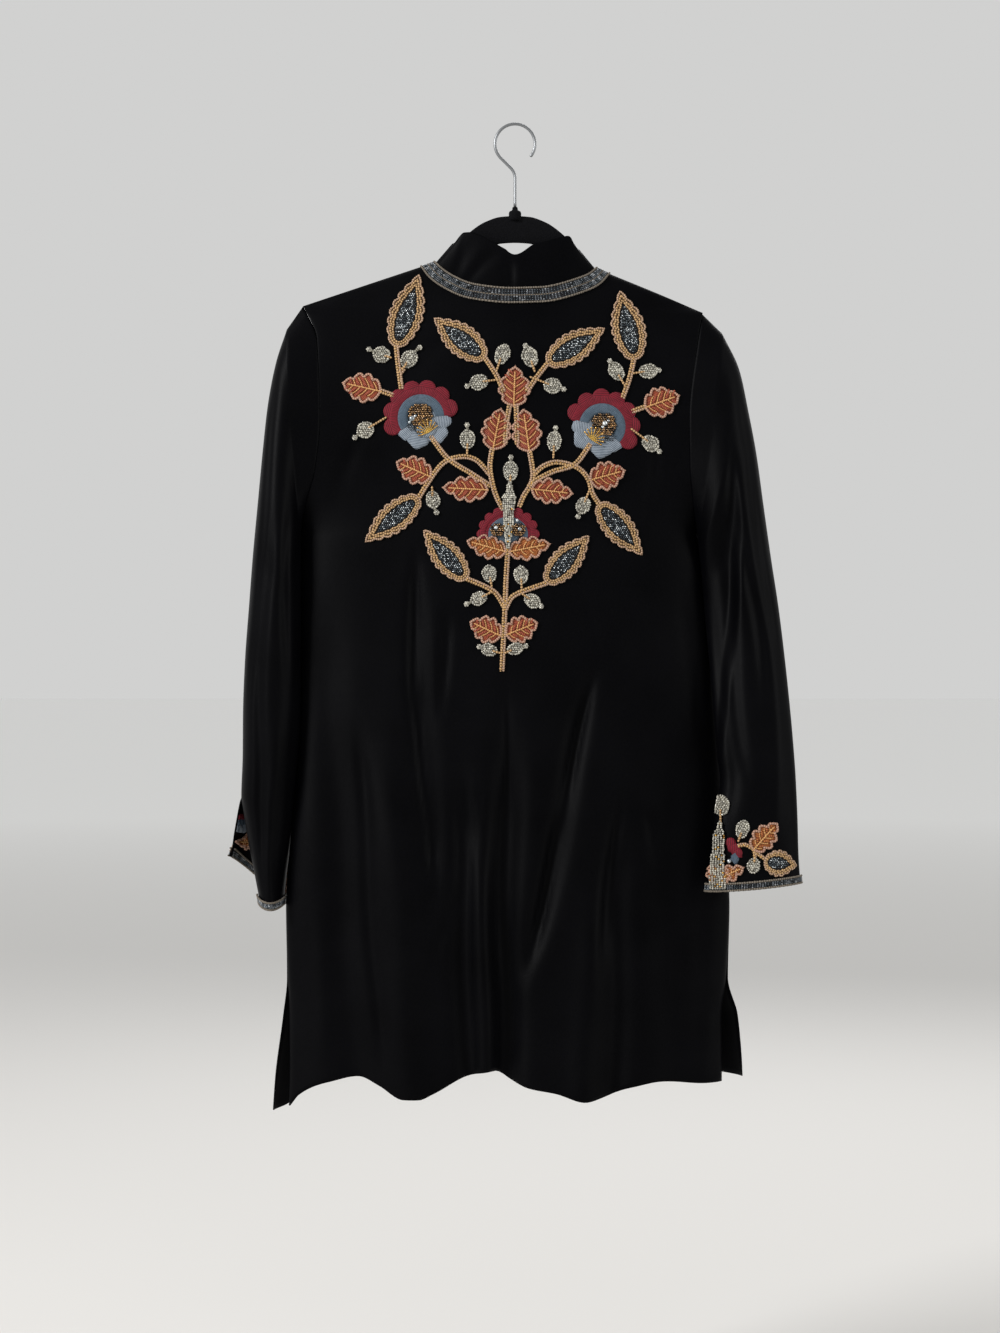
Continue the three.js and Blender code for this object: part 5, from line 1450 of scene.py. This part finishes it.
def makeHook():
    radius, bend, eighth = hookSpec["radius"], hookSpec["bend"], math.pi / 4
    middleZ = hookSpec["wire"] / 2 - radius
    bendX = -bend * (1 - math.cos(eighth))
    joinX, joinZ = -radius * math.cos(eighth), middleZ - radius * math.sin(eighth)
    bendTopZ = joinZ - (bendX - joinX)
    bendFootZ = bendTopZ - bend * math.sin(eighth)
    foot, sides = hookSpec["foot"], hookSpec["sides"]
    route = [(0, foot + t * (bendFootZ - foot)) for t in np.linspace(0, 0.96, 8)]
    route += [(-bend * (1 - math.cos(t)), bendFootZ + bend * math.sin(t))
              for t in np.linspace(0, eighth, 9)]
    turns = math.pi * 1.25 - math.radians(hookSpec["crookDegrees"]) * np.linspace(0, 1, 72)
    route += [(radius * math.cos(t), middleZ + radius * math.sin(t)) for t in turns]
    route = np.array([(x, 0, z) for x, z in route])
    along = unit(np.gradient(route, axis=0))
    # The last ring is smaller and stands a little further on, which blunts the tip
    route = np.concatenate([route, [route[-1] + along[-1] * hookSpec["tipLength"]]])
    along = np.concatenate([along, along[-1:]])
    reach = np.full(len(route), hookSpec["wire"] / 2)
    reach[-1] = hookSpec["tipRadius"]
    across = np.stack([along[:, 2], np.zeros(len(route)), -along[:, 0]], -1)
    turn = roundTurns(sides)
    ring = (route[:, None] + across[:, None] * (np.cos(turn)[None] * reach[:, None])[..., None]
            + np.array([0, 1.0, 0]) * (np.sin(turn)[None] * reach[:, None])[..., None])
    work = Gather()
    points = ring.reshape(-1, 3)
    work.add(points, tubeQuads(len(route), sides), points[:, [0, 2]])
    closeEnds(work, len(route), sides, 1)
    return work.build("hookWire", wire)


hookPiece = makeHook()
print("hanger and hook made")


# What each piece stands for and rides on
def settle(piece, node):
    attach(piece, "root")
    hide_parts(node)


for piece, node in clothPieces:
    settle(piece, node)
for node, parts in braids.items():
    for part in parts:
        settle(part, node)
for part in sprayParts:
    settle(part, "spray-1")
for hand, parts in motifParts.items():
    for part in parts:
        settle(part, "cuff-motif-" + hand + "-1")
settle(hangerPiece, "hanger")
settle(hookPiece, "hook")

# The cut of each piece of cloth, in metres, and its flat area
flatCuts = {
    "backPanel": (0.47, 0.83, 0.355), "leftFront": (0.25, 0.84, 0.185), "rightFront": (0.24, 0.81, 0.175),
    "leftSleeve": (0.26, 0.62, 0.105), "rightSleeve": (0.26, 0.62, 0.105),
    "standCollar": (0.42, 0.055, 0.0142),
}
for piece, node in clothPieces:
    width, length, area = flatCuts[piece.name]
print("pieces settled")


# Pale floor and soft studio light. Lights: place and aim in metres, size and power
studioLights = {
    "keyLight": ((-2.4, -1.6, 0.9), (0, 0, -0.45), 0.8, 98),
    "fillLight": ((2.3, -1.0, 0.1), (0, 0, -0.5), 1.0, 20),
    "backLight": ((0.6, 2.4, 1.2), (0, 0, -0.4), 1.6, 34),
}


def areaLight(name, place, aim, size, power):
    data = bpy.data.lights.new(name, "AREA")
    data.shape = "SQUARE"
    data.size = size
    data.energy = power
    lamp = bpy.data.objects.new(name, data)
    lamp.location = place
    direction = np.array(aim) - np.array(place)
    lamp.rotation_euler = Vector(direction).to_track_quat("-Z", "Y").to_euler()
    bpy.context.collection.objects.link(lamp)


# In metres: half the floor's width and its height, and how far off its haze starts and ends
floorSpec = {"half": 60, "z": -1.32, "hazeStart": 1.5, "hazeEnd": 11.0}
half = floorSpec["half"]
floorMesh = bpy.data.meshes.new("studioFloor")
floorMesh.from_pydata([(x, y, floorSpec["z"]) for x, y in ((-half, -half), (half, -half), (half, half),
                                                           (-half, half))], [], [(0, 1, 2, 3)])
# The floor is one pale shade, and goes paler far off as if in haze
floorMaterial, floorTree, floorShader = startMaterial("paleFloor", {"Roughness": 0.9})
floorPlace = addNode(floorTree, "ShaderNodeTexCoord")
floorReach = addNode(floorTree, "ShaderNodeVectorMath", {"operation": "LENGTH"},
                     {"Vector": floorPlace.outputs["Object"]})
floorHaze = addNode(floorTree, "ShaderNodeMapRange", {"From Min": floorSpec["hazeStart"],
                                                         "From Max": floorSpec["hazeEnd"]},
                    {"Value": floorReach.outputs["Value"]})
floorTree.links.new(shadeBetween(floorTree, floorHaze.outputs["Result"], "#cdcbc8", "#fcfcfb", 0, 1),
                    floorShader.inputs["Base Color"])
floorMesh.materials.append(floorMaterial)
studioFloor = bpy.data.objects.new("studioFloor", floorMesh)
bpy.context.collection.objects.link(studioFloor)

world = bpy.data.worlds.new("studio")
world.use_nodes = True
background = world.node_tree.nodes["Background"]
background.inputs["Color"].default_value = linear("#fbfbfa")
background.inputs["Strength"].default_value = 0.66
bpy.context.scene.world = world
bpy.context.scene.view_settings.view_transform = "Standard"
for name, light in studioLights.items():
    areaLight(name, *light)
print("studio made")

largest = max(triangles, key=triangles.get)
print("triangles:", sum(triangles.values()), "largest:", largest, triangles[largest])
